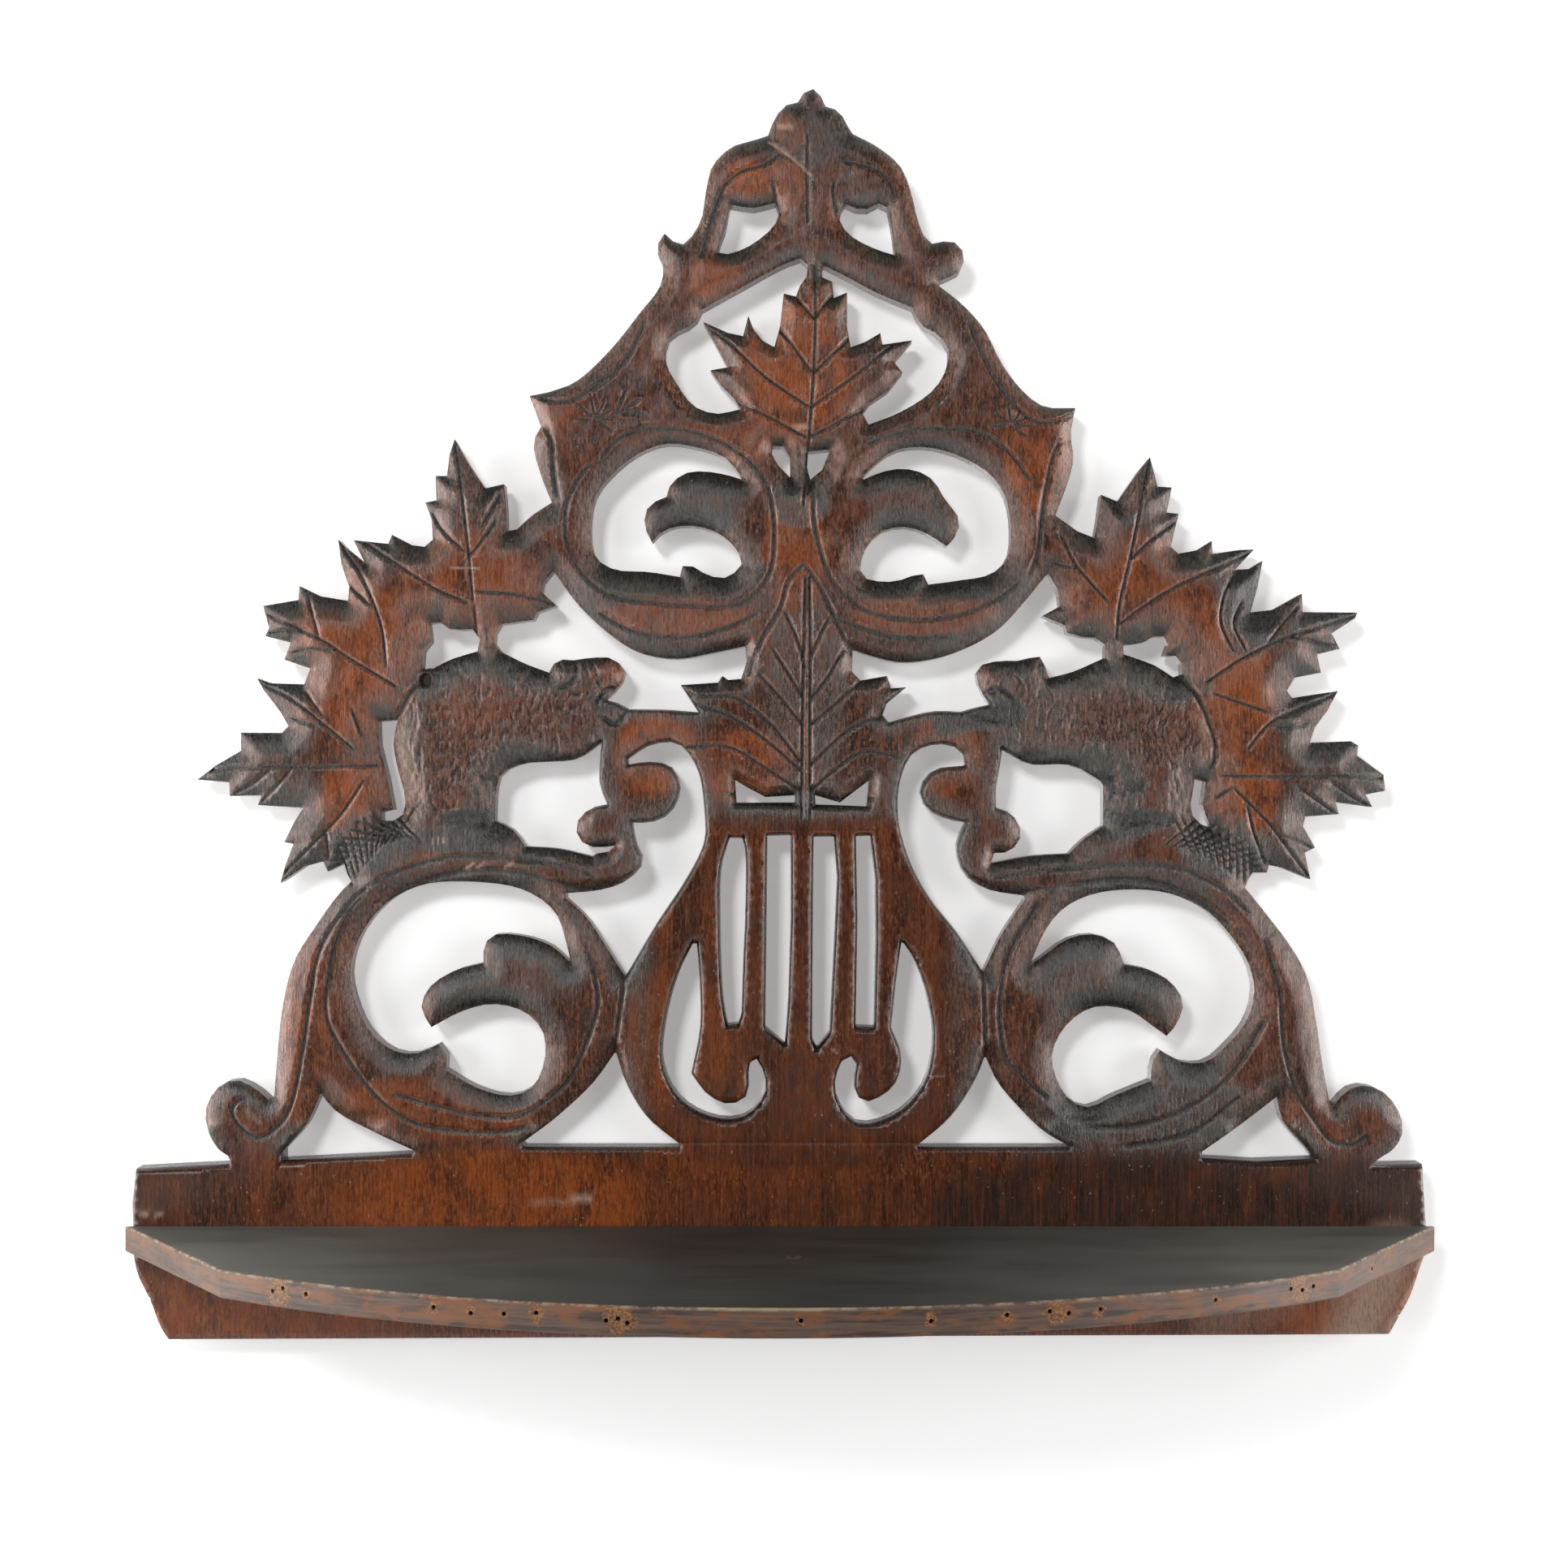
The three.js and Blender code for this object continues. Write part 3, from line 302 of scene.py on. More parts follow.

# %% [markdown]
# ## Old damage, and two painted highlights
# The real board has been knocked, scratched and mended. Each mark is a line too, only wider and
# shallower than a cut. A tone above 0 is pale bare wood, and one below 0 is a dark repair; the
# two pale streaks down the beavers' flanks are painted highlights instead. Marks drawn as noise
# would be quicker, but would not sit where the wood was hit.

# %% Chips, scratches, a repair and two painted highlights, as (line, half width, depth, tone)
MARKS = [
    ([(-4, 421), (3, 416), (8, 412), (12, 408)], 1.0, 0.5, 0.9),
    ([(0, 427.5), (4, 426.5)], 1.8, 0.1, 0.7),
    ([(6, 310.5), (10, 310.5)], 1.6, 0.3, 0.8),
    ([(-127, 255.6), (-117, 255.6)], 0.7, 0.2, 0.8),
    ([(-122, 251), (-122, 260)], 0.7, 0.2, 0.6),
    ([(-122.5, 138.6), (-119.5, 140.6)], 0.9, 0.3, 0.9),
    ([(-118, 139), (-115, 141)], 0.9, 0.3, 0.9),
    ([(-107, 139.4), (-103.5, 141)], 0.9, 0.3, 0.8),
    # Three tiny pale dashes side by side.
    ([(-135, 148.6), (-135, 150.4)], 0.5, 0.1, 1.0),
    ([(-132.8, 148.4), (-132.8, 150.8)], 0.5, 0.1, 1.0),
    ([(-131, 149), (-131, 150.4)], 0.4, 0.1, 1.0),
    ([(-41, 31.9), (54, 31.9)], 0.5, 0.25, 0.1),
    ([(58, 58), (64, 58)], 0.6, 0.2, 0.4),
    ([(-80, 10.4), (-74.8, 10.8)], 2.8, 0.3, 0.75),
    ([(-97, 8.6), (-90, 9.4), (-81, 9)], 2.2, 0.1, 0.3),
    ([(-146, 78), (-145.4, 80)], 0.8, 0.2, 0.6),
    ([(-36, 60), (-31, 63.5)], 0.7, 0.2, 0.6),
    ([(20.5, 68.5), (22, 67)], 0.8, 0.2, 0.7),
    ([(-70, 124.5), (-66, 127)], 0.7, 0.2, 0.4),
    ([(-247.6, 4.4), (-246.4, 4.4)], 1.8, 0.2, 0.8),
    ([(-241.8, 4.4), (-241, 4.4)], 1.5, 0.2, 0.7),
    ([(-211.8, -1.3), (-210.2, -1.3)], 1.7, 0.2, 0.7),
    ([(-228.5, 176.5), (-225, 176.8)], 1.5, 0.1, 0.9),
    ([(95, 93), (99, 98)], 2.0, 0.8, 0.2),
    ([(238, -12), (224, -42)], 17.0, 0.1, 1.0),
    ([(196, -26), (168, -38)], 12.0, 0.1, 0.3),
    ([(-207.5, 45), (-202.5, 40)], 1.4, 0.4, 0.4),
    # Two painted highlights: pale streaks down the beavers' flanks, where the slopes face
    # sideways.
    ([(-147, 191), (-145, 178), (-143.5, 168)], 4.0, 0.05, 0.4),
    ([(163, 197), (165.5, 188), (164, 180)], 3.0, 0.05, 0.35),
    ([(64, 195), (76, 198), (90, 199)], 6.5, 0.3, -0.9),
]
marks = [(curve_through(line, LINE_STEP), *how) for line, *how in MARKS]
print(len(marks), "marks of old damage")

# %% [markdown]
# ## How wide each margin is
# The lyre and the plinth keep almost square edges, the leaves and rings slope away over 8 or
# 9 mm, and the beavers and the curled leaf tips are rounded over. Each rule below is a
# soft-edged oval or box on the board with a margin width and a roundness, and later rules win.

# %% Margins, as (kind, centre, reach, width, roundness)
MARGINS = [
    ("oval", (-190, 200), (60, 80), 9.0, 0.2),
    ("oval", (200, 200), (60, 80), 9.0, 0.2),
    ("oval", (-118, 262), (46, 46), 8.0, 0.2),
    ("oval", (138, 262), (46, 42), 8.0, 0.2),
    ("oval", (-42, 262), (60, 56), 9.0, 0.35),
    ("oval", (58, 262), (60, 56), 9.0, 0.35),
    ("oval", (-126, 84), (70, 66), 8.5, 0.35),
    ("oval", (145, 84), (70, 66), 8.5, 0.35),
    ("oval", (8, 345), (100, 60), 7.0, 0.4),
    ("oval", (8, 334), (60, 34), 5.0, 0.2),
    ("oval", (10, 405), (62, 44), 7.0, 0.6),
    ("oval", (-118, 188), (44, 38), 9.5, 0.45),
    ("oval", (138, 188), (44, 38), 9.5, 0.45),
    ("oval", (-78, 202), (20, 22), 6.5, 0.7),
    ("oval", (96, 204), (20, 20), 6.5, 0.7),
    ("oval", (-68, 153), (14, 12), 6.0, 0.8),
    ("oval", (84, 152), (14, 14), 6.0, 0.8),
    ("oval", (-28, 276), (26, 18), 9.0, 0.7),
    ("oval", (50, 276), (24, 20), 9.0, 0.7),
    ("oval", (-108, 92), (34, 24), 10.0, 0.7),
    ("oval", (128, 92), (34, 24), 10.0, 0.7),
    ("oval", (-212, 41), (17, 18), 8.0, 0.85),
    ("oval", (233, 41), (17, 18), 8.0, 0.85),
    ("oval", (10, 200), (52, 52), 4.5, 0.25),
    ("box", (8, 86), (70, 78), 1.2, 0.6),
    ("box", (-46, 182), (27, 24), 1.2, 0.6),
    ("box", (66, 182), (27, 24), 1.2, 0.6),
    ("box", (0, -6), (270, 45), 0.9, 0.4),
]
PLAIN_MARGIN = (5.0, 0.3)
FADE = {"oval": 0.12, "box": 0.06}
print(len(MARGINS), "rules for the margins")


# %% Soft-edged areas, and the margin that they give
def soft_area(points, centre, reach, fade, kind="oval"):
    """1 inside an oval or a box on the board, fading to 0 across its edge."""
    away = np.abs(points - centre) / reach
    away = np.hypot(*away.T) if kind == "oval" else away.max(axis=1)
    return np.clip((1 + fade - away) / (2 * fade), 0, 1)


def margin_at(points):
    """Width and roundness of the margin at each point."""
    width = np.full(len(points), PLAIN_MARGIN[0])
    roundness = np.full(len(points), PLAIN_MARGIN[1])
    for kind, centre, reach, new_width, new_roundness in MARGINS:
        share = soft_area(points, centre, reach, FADE[kind], kind)
        width += (new_width - width) * share
        roundness += (new_roundness - roundness) * share
    return width, roundness


# %% [markdown]
# ## The back and the sawn walls
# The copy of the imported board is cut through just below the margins, and what lies in front is
# cleared. The open edges that are left are the sawn outline, the piercings and the drilled
# holes, and the carved front is sewn onto exactly these edges, so the board stays closed.

# %% Cut the front off a copy of the board
SHORTEST_SIDE = 0.002
board = bmesh.new()
board.from_mesh(nodes["carved_back_panel"].data)
bmesh.ops.remove_doubles(board, verts=board.verts, dist=SAME_POINT * MM)
bmesh.ops.bisect_plane(
    board, geom=board.verts[:] + board.edges[:] + board.faces[:],
    plane_co=(0, RIM * MM, 0), plane_no=(0, -1, 0), clear_outer=True)
bmesh.ops.dissolve_degenerate(board, dist=SHORTEST_SIDE * MM, edges=board.edges[:])
walls = set(board.faces)
print(len(walls), "faces at the back and the sides")

# %% Follow the open edges round into loops
open_edges = {e for e in board.edges if e.is_boundary}
rim_loops = []
for edge in board.edges:
    if edge not in open_edges:
        continue
    open_edges.discard(edge)
    loop = [edge.verts[0], edge.verts[1]]
    while True:
        onward = [e for e in loop[-1].link_edges if e in open_edges]
        if not onward:
            break
        open_edges.discard(onward[0])
        loop.append(onward[0].other_vert(loop[-1]))
    rim_loops.append(loop[:-1] if loop[0] is loop[-1] else loop)
print(len(rim_loops), "loops with", sum(len(loop) for loop in rim_loops), "corners")

# %% The rim as numbers
LARGEST_DRILLED = 9
rim_verts = [v for loop in rim_loops for v in loop]
rim = np.array([(v.co.x / MM, v.co.z / MM) for v in rim_verts])
rim_edges = []
drilled = np.zeros(len(rim), bool)
for loop in rim_loops:
    first = len(rim_edges)
    count = len(loop)
    rim_edges += [(first + i, first + (i + 1) % count) for i in range(count)]
    size = np.ptp(rim[first:first + count], axis=0).max()
    drilled[first:first + count] = size < LARGEST_DRILLED
starts = rim[[a for a, b in rim_edges]]
ends = rim[[b for a, b in rim_edges]]
print(len(rim_edges), "edges on the rim,", int(drilled.sum()), "of them round drilled holes")


# %% Which points lie in the wood
LEVEL = 1e-9


def in_wood(points, strip=4.0):
    """True where a point is in the wood: the edges to its left are counted, strip by strip."""
    found = np.zeros(len(points), bool)
    low = np.minimum(starts[:, 1], ends[:, 1])
    high = np.maximum(starts[:, 1], ends[:, 1])
    for z in np.arange(points[:, 1].min(), points[:, 1].max() + strip, strip):
        here = np.flatnonzero((points[:, 1] >= z) & (points[:, 1] < z + strip))
        near = (high >= z) & (low < z + strip)
        if len(here) and near.any():
            a, b, p = starts[near], ends[near], points[here]
            spans = (a[:, 1] > p[:, 1:]) != (b[:, 1] > p[:, 1:])
            rise = b[:, 1] - a[:, 1]
            rise = np.where(np.abs(rise) < LEVEL, LEVEL, rise)
            crossing = a[:, 0] + (p[:, 1:] - a[:, 1]) * (b[:, 0] - a[:, 0]) / rise
            found[here] = (spans & (crossing < p[:, :1])).sum(axis=1) % 2 == 1
    return found


# %% Distance to the sawn edge and to the drilled holes
RIM_STEP = 0.4


def tree_of(points):
    """A tree that finds the nearest of some points on the board."""
    tree = KDTree(len(points))
    for i, (x, z) in enumerate(points):
        tree.insert((x, z, 0), i)
    tree.balance()
    return tree


def distances(tree, points):
    """How far each point is from the nearest point in a tree."""
    return np.array([tree.find((x, z, 0))[2] for x, z in points])


sawn_points = []
drilled_points = []
for (a, b), p, q in zip(rim_edges, starts, ends):
    steps = max(1, round(np.hypot(*(q - p)) / RIM_STEP))
    kind = drilled_points if drilled[a] else sawn_points
    kind += [p + (q - p) * i / steps for i in range(steps)]
sawn_tree = tree_of(sawn_points)
drilled_tree = tree_of(drilled_points)
print(len(sawn_points), "points on the sawn edge,", len(drilled_points), "on drilled holes")


def edge_distance(points):
    """How far each point is from the nearest edge, sawn or drilled."""
    return np.minimum(distances(sawn_tree, points), distances(drilled_tree, points))


# %% [markdown]
# ## Where the corners of the triangles go
# A face this size in triangles as fine as fur would be far too heavy. The corners lie close
# together only where a tool has been: on the beavers' fur, on every drawn line and its two
# shoulders, and along the top and the foot of each margin. The flat lyre and plinth get few.

# %% Areas that are plain, and areas with fur
FUR = [((-118, 188), (38, 37)), ((-79, 204), (20, 17)), ((138, 187), (38, 38)),
       ((98, 203), (20, 17))]
LYRE = ((8, 90), (58, 66))
PLINTH_TOP = 24
PLINTH_FADE = 8
PATCH_FADE = 0.15


def plainness(points):
    """1 on the lyre's body and the plinth, which carry no carving, fading to 0 around them."""
    lyre = soft_area(points, *LYRE, FADE["box"], "box")
    plinth = np.clip((PLINTH_TOP + PLINTH_FADE - points[:, 1]) / PLINTH_FADE, 0, 1)
    return np.maximum(lyre, plinth)


def patches_at(points, patches):
    """The strongest of some soft ovals at each point, each (centre, reach) or with a strength."""
    return np.max([
        soft_area(points, centre, reach, PATCH_FADE) * (strength[0] if strength else 1)
        for centre, reach, *strength in patches], axis=0)


print("plain lyre, 2 x", LYRE[1], "mm, and", len(FUR), "patches of fur")

# %% An even grid of points, in three finenesses
MESH_STEP = 1.45
FLAT_STEP = 2.6
FUR_STEP = 0.75
HALF_WIDTH = 255
LOWEST = -46
HIGHEST = 445


def grid(step):
    """Points in rows, every other row shifted, so that they join into even triangles."""
    rows = []
    for i, z in enumerate(np.arange(LOWEST, HIGHEST, step * math.sqrt(3) / 2)):
        row = np.arange(-HALF_WIDTH + (i % 2) * step / 2, HALF_WIDTH, step)
        rows.append(np.column_stack([row, np.full_like(row, z)]))
    return np.vstack(rows)


fine = grid(MESH_STEP)
coarse = grid(FLAT_STEP)
furry = grid(FUR_STEP)
field = np.vstack([
    fine[(plainness(fine) < 1) & (patches_at(fine, FUR) == 0)],
    coarse[plainness(coarse) >= 1],
    furry[patches_at(furry, FUR) > 0]])
field = field[in_wood(field)]
print(len(field), "grid points in the wood")

# %% More points on the drawn lines and along the margins
EDGE_PITCH = 1.3
SHORTEST_EDGE = 0.2
FOOT_OFFSET = 0.55
shoulder_points = []
for line, half, *_ in cuts + marks:
    way = np.gradient(line, axis=0)
    way /= np.hypot(*way.T)[:, None]
    across = np.column_stack([-way[:, 1], way[:, 0]])
    shoulder_points += [line + across * shift for shift in (0, -half, half)]

mitre_points = []
for a, b in zip(starts, ends):
    length = np.hypot(*(b - a))
    if length > SHORTEST_EDGE:
        across = np.array([-(b - a)[1], (b - a)[0]]) / length
        count = max(1, round(length / EDGE_PITCH))
        for t in (np.arange(count) + 0.5) / count:
            mitre_points += [a + (b - a) * t + across, a + (b - a) * t - across]
mitre_points = np.array(mitre_points)
foot = np.repeat(mitre_points.reshape(-1, 2, 2).mean(axis=1), 2, axis=0)
top_edge = foot + (mitre_points - foot) * margin_at(foot)[0][:, None]
near_edge = foot + (mitre_points - foot) * FOOT_OFFSET
drawn = np.vstack([*shoulder_points, top_edge])
drawn = drawn[in_wood(drawn)]
near_edge = near_edge[in_wood(near_edge)]
print(len(drawn), "points on drawn lines,", len(near_edge), "by the edge")

# %% Thin the points out, so that none crowd each other
LINE_GAP = 0.42
FIELD_GAP = 0.62
LINE_TO_RIM = 0.4
FIELD_TO_RIM = 0.5


def thinned(points, gap):
    """Keeps a point only if no earlier one is closer than the gap."""
    cells = {}
    kept = []
    for i, (x, z) in enumerate(points):
        cell = (int(x // gap), int(z // gap))
        near = (
            points[j]
            for dx in (-1, 0, 1) for dz in (-1, 0, 1)
            for j in cells.get((cell[0] + dx, cell[1] + dz), ())
        )
        if all((x - px)**2 + (z - pz)**2 >= gap**2 for px, pz in near):
            cells.setdefault(cell, []).append(i)
            kept.append(i)
    return points[kept]


drawn = drawn[edge_distance(drawn) > LINE_TO_RIM]
sites = thinned(np.vstack([drawn, near_edge]), LINE_GAP)
lonely = distances(tree_of(sites), field) > FIELD_GAP
field = field[lonely & (edge_distance(field) > FIELD_TO_RIM)]
inner = np.vstack([sites, field])
print(len(inner), "points inside the outline")

# %% Join the points into triangles
SLIVER_AREA = 0.0002
SAME_SITE = 1e-5
flat_points = [Vector((x, z)) for x, z in np.vstack([rim, inner])]
laid = delaunay_2d_cdt(flat_points, rim_edges, [], 0, SAME_SITE)
placed = np.array([(p.x, p.y) for p in laid[0]])
triangles = np.array(laid[2])
triangles = triangles[in_wood(placed[triangles].mean(axis=1))]
side_one = placed[triangles[:, 1]] - placed[triangles[:, 0]]
side_two = placed[triangles[:, 2]] - placed[triangles[:, 0]]
area = np.abs(side_one[:, 0] * side_two[:, 1] - side_one[:, 1] * side_two[:, 0]) / 2
triangles = triangles[area > SLIVER_AREA]
source = [origins[0] if origins else -1 for origins in laid[3]]
print(len(triangles), "triangles on the front")

# %% [markdown]
# ## Depth of the cuts
# The margin falls from the face to the rim. The veins take away their own depth on top of that.
# A little slow noise stands for the waver of a hand-held gouge, which is what catches the light.
# Wax and dirt gather where the wood is low, so how dark each point is comes from the same sums.
# Under the beavers' bellies the darkness of the hollows is painted shade.

# %% The margins, and the wax that lies on them and spreads in from the edge
DRILLED_MARGIN = 0.7
DRILLED_WAX = (2.2, 0.8)
SLOPE_WAX = 0.72
SPREAD = (10, 0.4)
MORE_IN_LEAVES = (5, 0.28)
LEAVES_FROM_X = 95
LEAVES_FROM_Z = 130
LEAVES_FADE = 20
MIDDLE_X = 10
gap = distances(sawn_tree, placed)
hole_gap = distances(drilled_tree, placed)
plain = plainness(placed)
width, roundness = margin_at(placed)
chisel = 1 - np.clip(gap / width, 0, 1)
rounded = 1 - np.sqrt(np.clip(1 - chisel**2, 0, 1))
depth = MARGIN_DEPTH * (chisel * (1 - roundness) + rounded * roundness)
depth = np.maximum(depth, MARGIN_DEPTH * np.clip(1 - hole_gap / DRILLED_MARGIN, 0, 1))
sideways = np.abs(placed[:, 0] - MIDDLE_X)
in_leaves = np.clip((sideways - LEAVES_FROM_X) / LEAVES_FADE, 0, 1)
in_leaves *= placed[:, 1] > LEAVES_FROM_Z
reach, strength = (a + b * in_leaves for a, b in zip(SPREAD, MORE_IN_LEAVES))
spread = np.clip(1 - gap / reach, 0, 1) * strength
wax_and_shade = np.maximum(chisel * SLOPE_WAX, spread * (1 - plain))
wax_and_shade = np.maximum(wax_and_shade, np.clip(DRILLED_WAX[0] - hole_gap, 0, DRILLED_WAX[1]))
print("margins from", round(width.min(), 1), "to", round(width.max(), 1), "mm wide")

# %% The veins, each running out at its ends
TAPER_LENGTH = 3
BLUNT_END = 0.35
WIDEST_HALF = 4
WAX_FILL = 2
vein = np.zeros(len(placed))
for line, half, deep, dark in cuts:
    low, high = line.min(axis=0) - WIDEST_HALF, line.max(axis=0) + WIDEST_HALF
    here = np.flatnonzero(((placed > low) & (placed < high)).all(axis=1))
    off, along, total = nearest_on(line, placed[here])
    taper = np.clip(np.minimum(along, total - along) / TAPER_LENGTH + BLUNT_END, 0, 1)
    groove = np.clip(1 - off / (half * taper), 0, 1)
    vein[here] = np.maximum(vein[here], groove * taper * deep)
    wax_and_shade[here] = np.maximum(wax_and_shade[here], np.clip(groove * WAX_FILL, 0, 1) * dark)
print(int((vein > 0).sum()), "points lie in a vein")

# %% The old damage, and two painted highlights
REPAIR_WAX = 0.75
MARK_FILL = 1.3
pale = np.zeros(len(placed))
for line, half, deep, tone in marks:
    off = nearest_on(line, placed)[0]
    hit = np.clip(MARK_FILL * (1 - off / half), 0, 1)
    vein = np.maximum(vein, hit * deep)
    if tone < 0:
        wax_and_shade = np.maximum(wax_and_shade, np.clip(WAX_FILL * hit, 0, 1) * -tone * REPAIR_WAX)
    else:
        pale = np.maximum(pale, hit * tone)
print(int((pale > 0).sum()), "points are knocked pale")

# %% The waver of the gouge, as (width, length, layer of the noise, height)
WAVES = [(9, 11, 1, 0.45), (2.2, 5, 5, 0.14)]
PLAIN_CALM = 0.75
EDGE_CALM = 2
waver = sum(
    np.array([noise.noise((x / wide, z / long, layer)) for x, z in placed]) * high
    for wide, long, layer, high in WAVES)
waver *= (1 - PLAIN_CALM * plain) * np.clip(np.minimum(gap, hole_gap) / EDGE_CALM, 0, 1)
print("the gouge wavers by up to", round(np.abs(waver).max(), 2), "mm")

# %% The fur, in upright tufts that lean this way and that
TUFT_WIDTH = 1.35
TUFT_LENGTH = 5.5
TUFT_DEPTH = 0.85
LEAN = 4
LEAN_PATCH = 16
LESS_ON_SLOPE = 0.5
fur = patches_at(placed, FUR)
tufts = np.zeros(len(placed))
for i in np.flatnonzero(fur):
    x, z = placed[i]
    lean = noise.noise((x / LEAN_PATCH, z / LEAN_PATCH, 3)) * LEAN
    tuft = abs(noise.noise(((x + lean) / TUFT_WIDTH, z / TUFT_LENGTH, 9)))
    tufts[i] = tuft * TUFT_DEPTH
fur_cut = fur * tufts * (1 - LESS_ON_SLOPE * chisel)
print("the fur is cut up to", round(fur_cut.max(), 2), "mm deep")

# %% The depth in all
FACE_LOSS = 0.2
LEAST_DEPTH = 0.02
EXTRA_DEPTH = 2.5
depth = np.clip(
    depth + vein + FACE_LOSS + waver + fur_cut, LEAST_DEPTH, MARGIN_DEPTH + EXTRA_DEPTH)
height = np.minimum(BOARD_FACE + depth, DEEPEST_CUT)
print("depth of the cuts in mm, mean and most:", round(depth.mean(), 2), round(depth.max(), 2))

# %% Sew the carved front onto the walls
SHARP_ANGLE = math.radians(35)
front = []
for i, (x, z) in enumerate(placed):
    if 0 <= source[i] < len(rim_verts):
        front.append(rim_verts[source[i]])
    else:
        front.append(board.verts.new((x * MM, height[i] * MM, z * MM)))
for a, b, c in triangles:
    board.faces.new((front[a], front[b], front[c]))
for face in board.faces:
    face.smooth = True
for edge in board.edges:
    in_walls = [face in walls for face in edge.link_faces]
    if in_walls in ([True, False], [False, True]):
        edge.smooth = False
    elif in_walls == [True, True] and edge.calc_face_angle(0) > SHARP_ANGLE:
        edge.smooth = False
bmesh.ops.recalc_face_normals(board, faces=board.faces[:])
print("open edges left:", sum(e.is_boundary for e in board.edges), "triangles:",
      sum(len(f.verts) - 2 for f in board.faces))

# %% [markdown]
# ## Wax, wear, grime and painted light kept on the mesh
# Hands, dusters and smoke have gone over the real board unevenly: the middles of the leaves are
# rubbed to a clear red-brown, and the hollows are black. Some of the values are painted light:
# shade on slopes that face up and in the hollows under the beavers, and a pale sheen on slopes
# that face sideways. A painted picture would need its own unwrapping. Numbers kept on the
# mesh's corners are lighter, and the finish can read them.

# %% Where the stain is worn thin, and where grime and painted shade lie, as (centre, reach, strength)
WEAR = [
    ((-165, 222), (26, 34), 0.8), ((-162, 165), (18, 16), 0.9), ((176, 207), (16, 30), 0.9),
    ((180, 168), (14, 16), 0.8), ((-122, 246), (28, 24), 0.7), ((140, 248), (28, 22), 0.55),
    ((-48, 183), (16, 16), 0.9), ((64, 183), (14, 16), 0.6), ((0, 40), (60, 22), 0.2),
    ((-110, 8), (60, 22), 0.75), ((6, 332), (22, 28), 0.8), ((6, 262), (12, 26), 0.6),
    ((224, -28), (34, 26), 1.0), ((-200, -30), (50, 20), 0.5), ((-92, 318), (14, 12), 0.4),
    ((-14, 406), (9, 8), 0.9), ((-28, 304), (30, 8), 0.5), ((-60, -32), (200, 16), 0.25),
    ((-126, 140), (30, 5), 0.5), ((-135, 45), (40, 13), 0.55), ((100, 300), (14, 22), 0.7),
    ((-40, 60), (22, 40), 0.4), ((-185, 76), (10, 40), 0.5), ((-66, 214), (8, 5), 0.9),
    ((-14, 178), (18, 14), 0.7), ((-40, 236), (30, 8), 0.75), ((56, 237), (30, 8), 0.65),
    ((3, 425), (7, 9), 0.7), ((2, 405), (8, 10), 0.6), ((-26, 368), (12, 8), 0.7),
    ((160, 233), (14, 13), 0.8), ((-118, 205), (18, 12), 0.4), ((200, 30), (20, 20), 0.3),
]
GRIME_AND_SHADE = [
    ((165, 4), (110, 28), 0.48), ((-232, 2), (24, 28), 0.25), ((10, 205), (16, 46), 0.22),
    ((-118, 216), (44, 14), 0.12), ((140, 218), (44, 16), 0.15), ((97, 200), (20, 20), 0.2),
    ((-100, 172), (20, 16), 0.25), ((122, 172), (22, 16), 0.25), ((-40, 245), (44, 18), 0.22),
    ((60, 245), (44, 18), 0.2), ((10, 425), (20, 14), 0.3), ((140, 46), (44, 16), 0.38),
    ((30, -5), (80, 22), 0.12), ((8, 95), (70, 60), 0.16), ((10, 85), (44, 34), 0.1),
    # The patches at (-112, 157), (132, 157), (-104, 170), (127, 170) and (-123, 150) are painted
    # shade under the beavers' bellies.
    ((40, 95), (24, 40), 0.1), ((-112, 157), (18, 6), 0.5), ((132, 157), (18, 6), 0.5),
    ((-104, 170), (12, 7), 0.4), ((127, 170), (12, 7), 0.4), ((-158, 149), (17, 12), 0.4),
    ((172, 147), (17, 12), 0.4), ((181, 237), (11, 18), 0.55), ((8, 42), (60, 22), 0.3),
    ((-123, 150), (22, 5), 0.5), ((7, 281), (12, 10), 0.5), ((-44, 280), (28, 20), 0.3),
    ((62, 280), (26, 18), 0.2), ((-108, 100), (34, 16), 0.2), ((128, 98), (34, 18), 0.3),
]
print(len(WEAR), "worn places and", len(GRIME_AND_SHADE), "grimy ones")

# %% A value for every corner of the board
WALL_WAX = 0.3
BACK_WAX = 0.2
VEIN_WAX = 0.85
MOST_GRIME_AND_SHADE = 0.8
# Slopes that face sideways get a painted highlight: a pale sheen, with less grime under it.
SHEEN_FROM = 0.12
SHEEN_SPAN = 0.4
SHEEN_CLEARS_GRIME = 0.5
SHEEN_MARGINS = (2, 5)
# Painted shade: slopes that face up are darkened by how far they tilt upward.
UP_SLOPE_SHADE = 0.4
UP_SLOPE_LIMIT = 0.5
BACK_WITHIN = 1
board.verts.index_update()
all_points = np.array([(v.co.x / MM, v.co.z / MM) for v in board.verts])
facing = np.array([v.normal for v in board.verts])
at_back = np.array([v.co.y > -BACK_WITHIN * MM for v in board.verts])
front_index = [v.index for v in front]
wide_margin = np.interp(margin_at(all_points)[0], SHEEN_MARGINS, (0, 1))
corner_values = {
    "wax_and_shade": np.full(len(all_points), WALL_WAX),
    "fur": patches_at(all_points, FUR),
    "wear": patches_at(all_points, WEAR),
    "plain": plainness(all_points),
    "pale": np.zeros(len(all_points)),
    "tuft": np.zeros(len(all_points)),
    "painted_side_sheen": np.clip((np.abs(facing[:, 0]) - SHEEN_FROM) / SHEEN_SPAN, 0, 1) * wide_margin,
}
for name, values in (("wax_and_shade", wax_and_shade), ("pale", pale), ("tuft", tufts * fur)):
    corner_values[name][front_index] = values
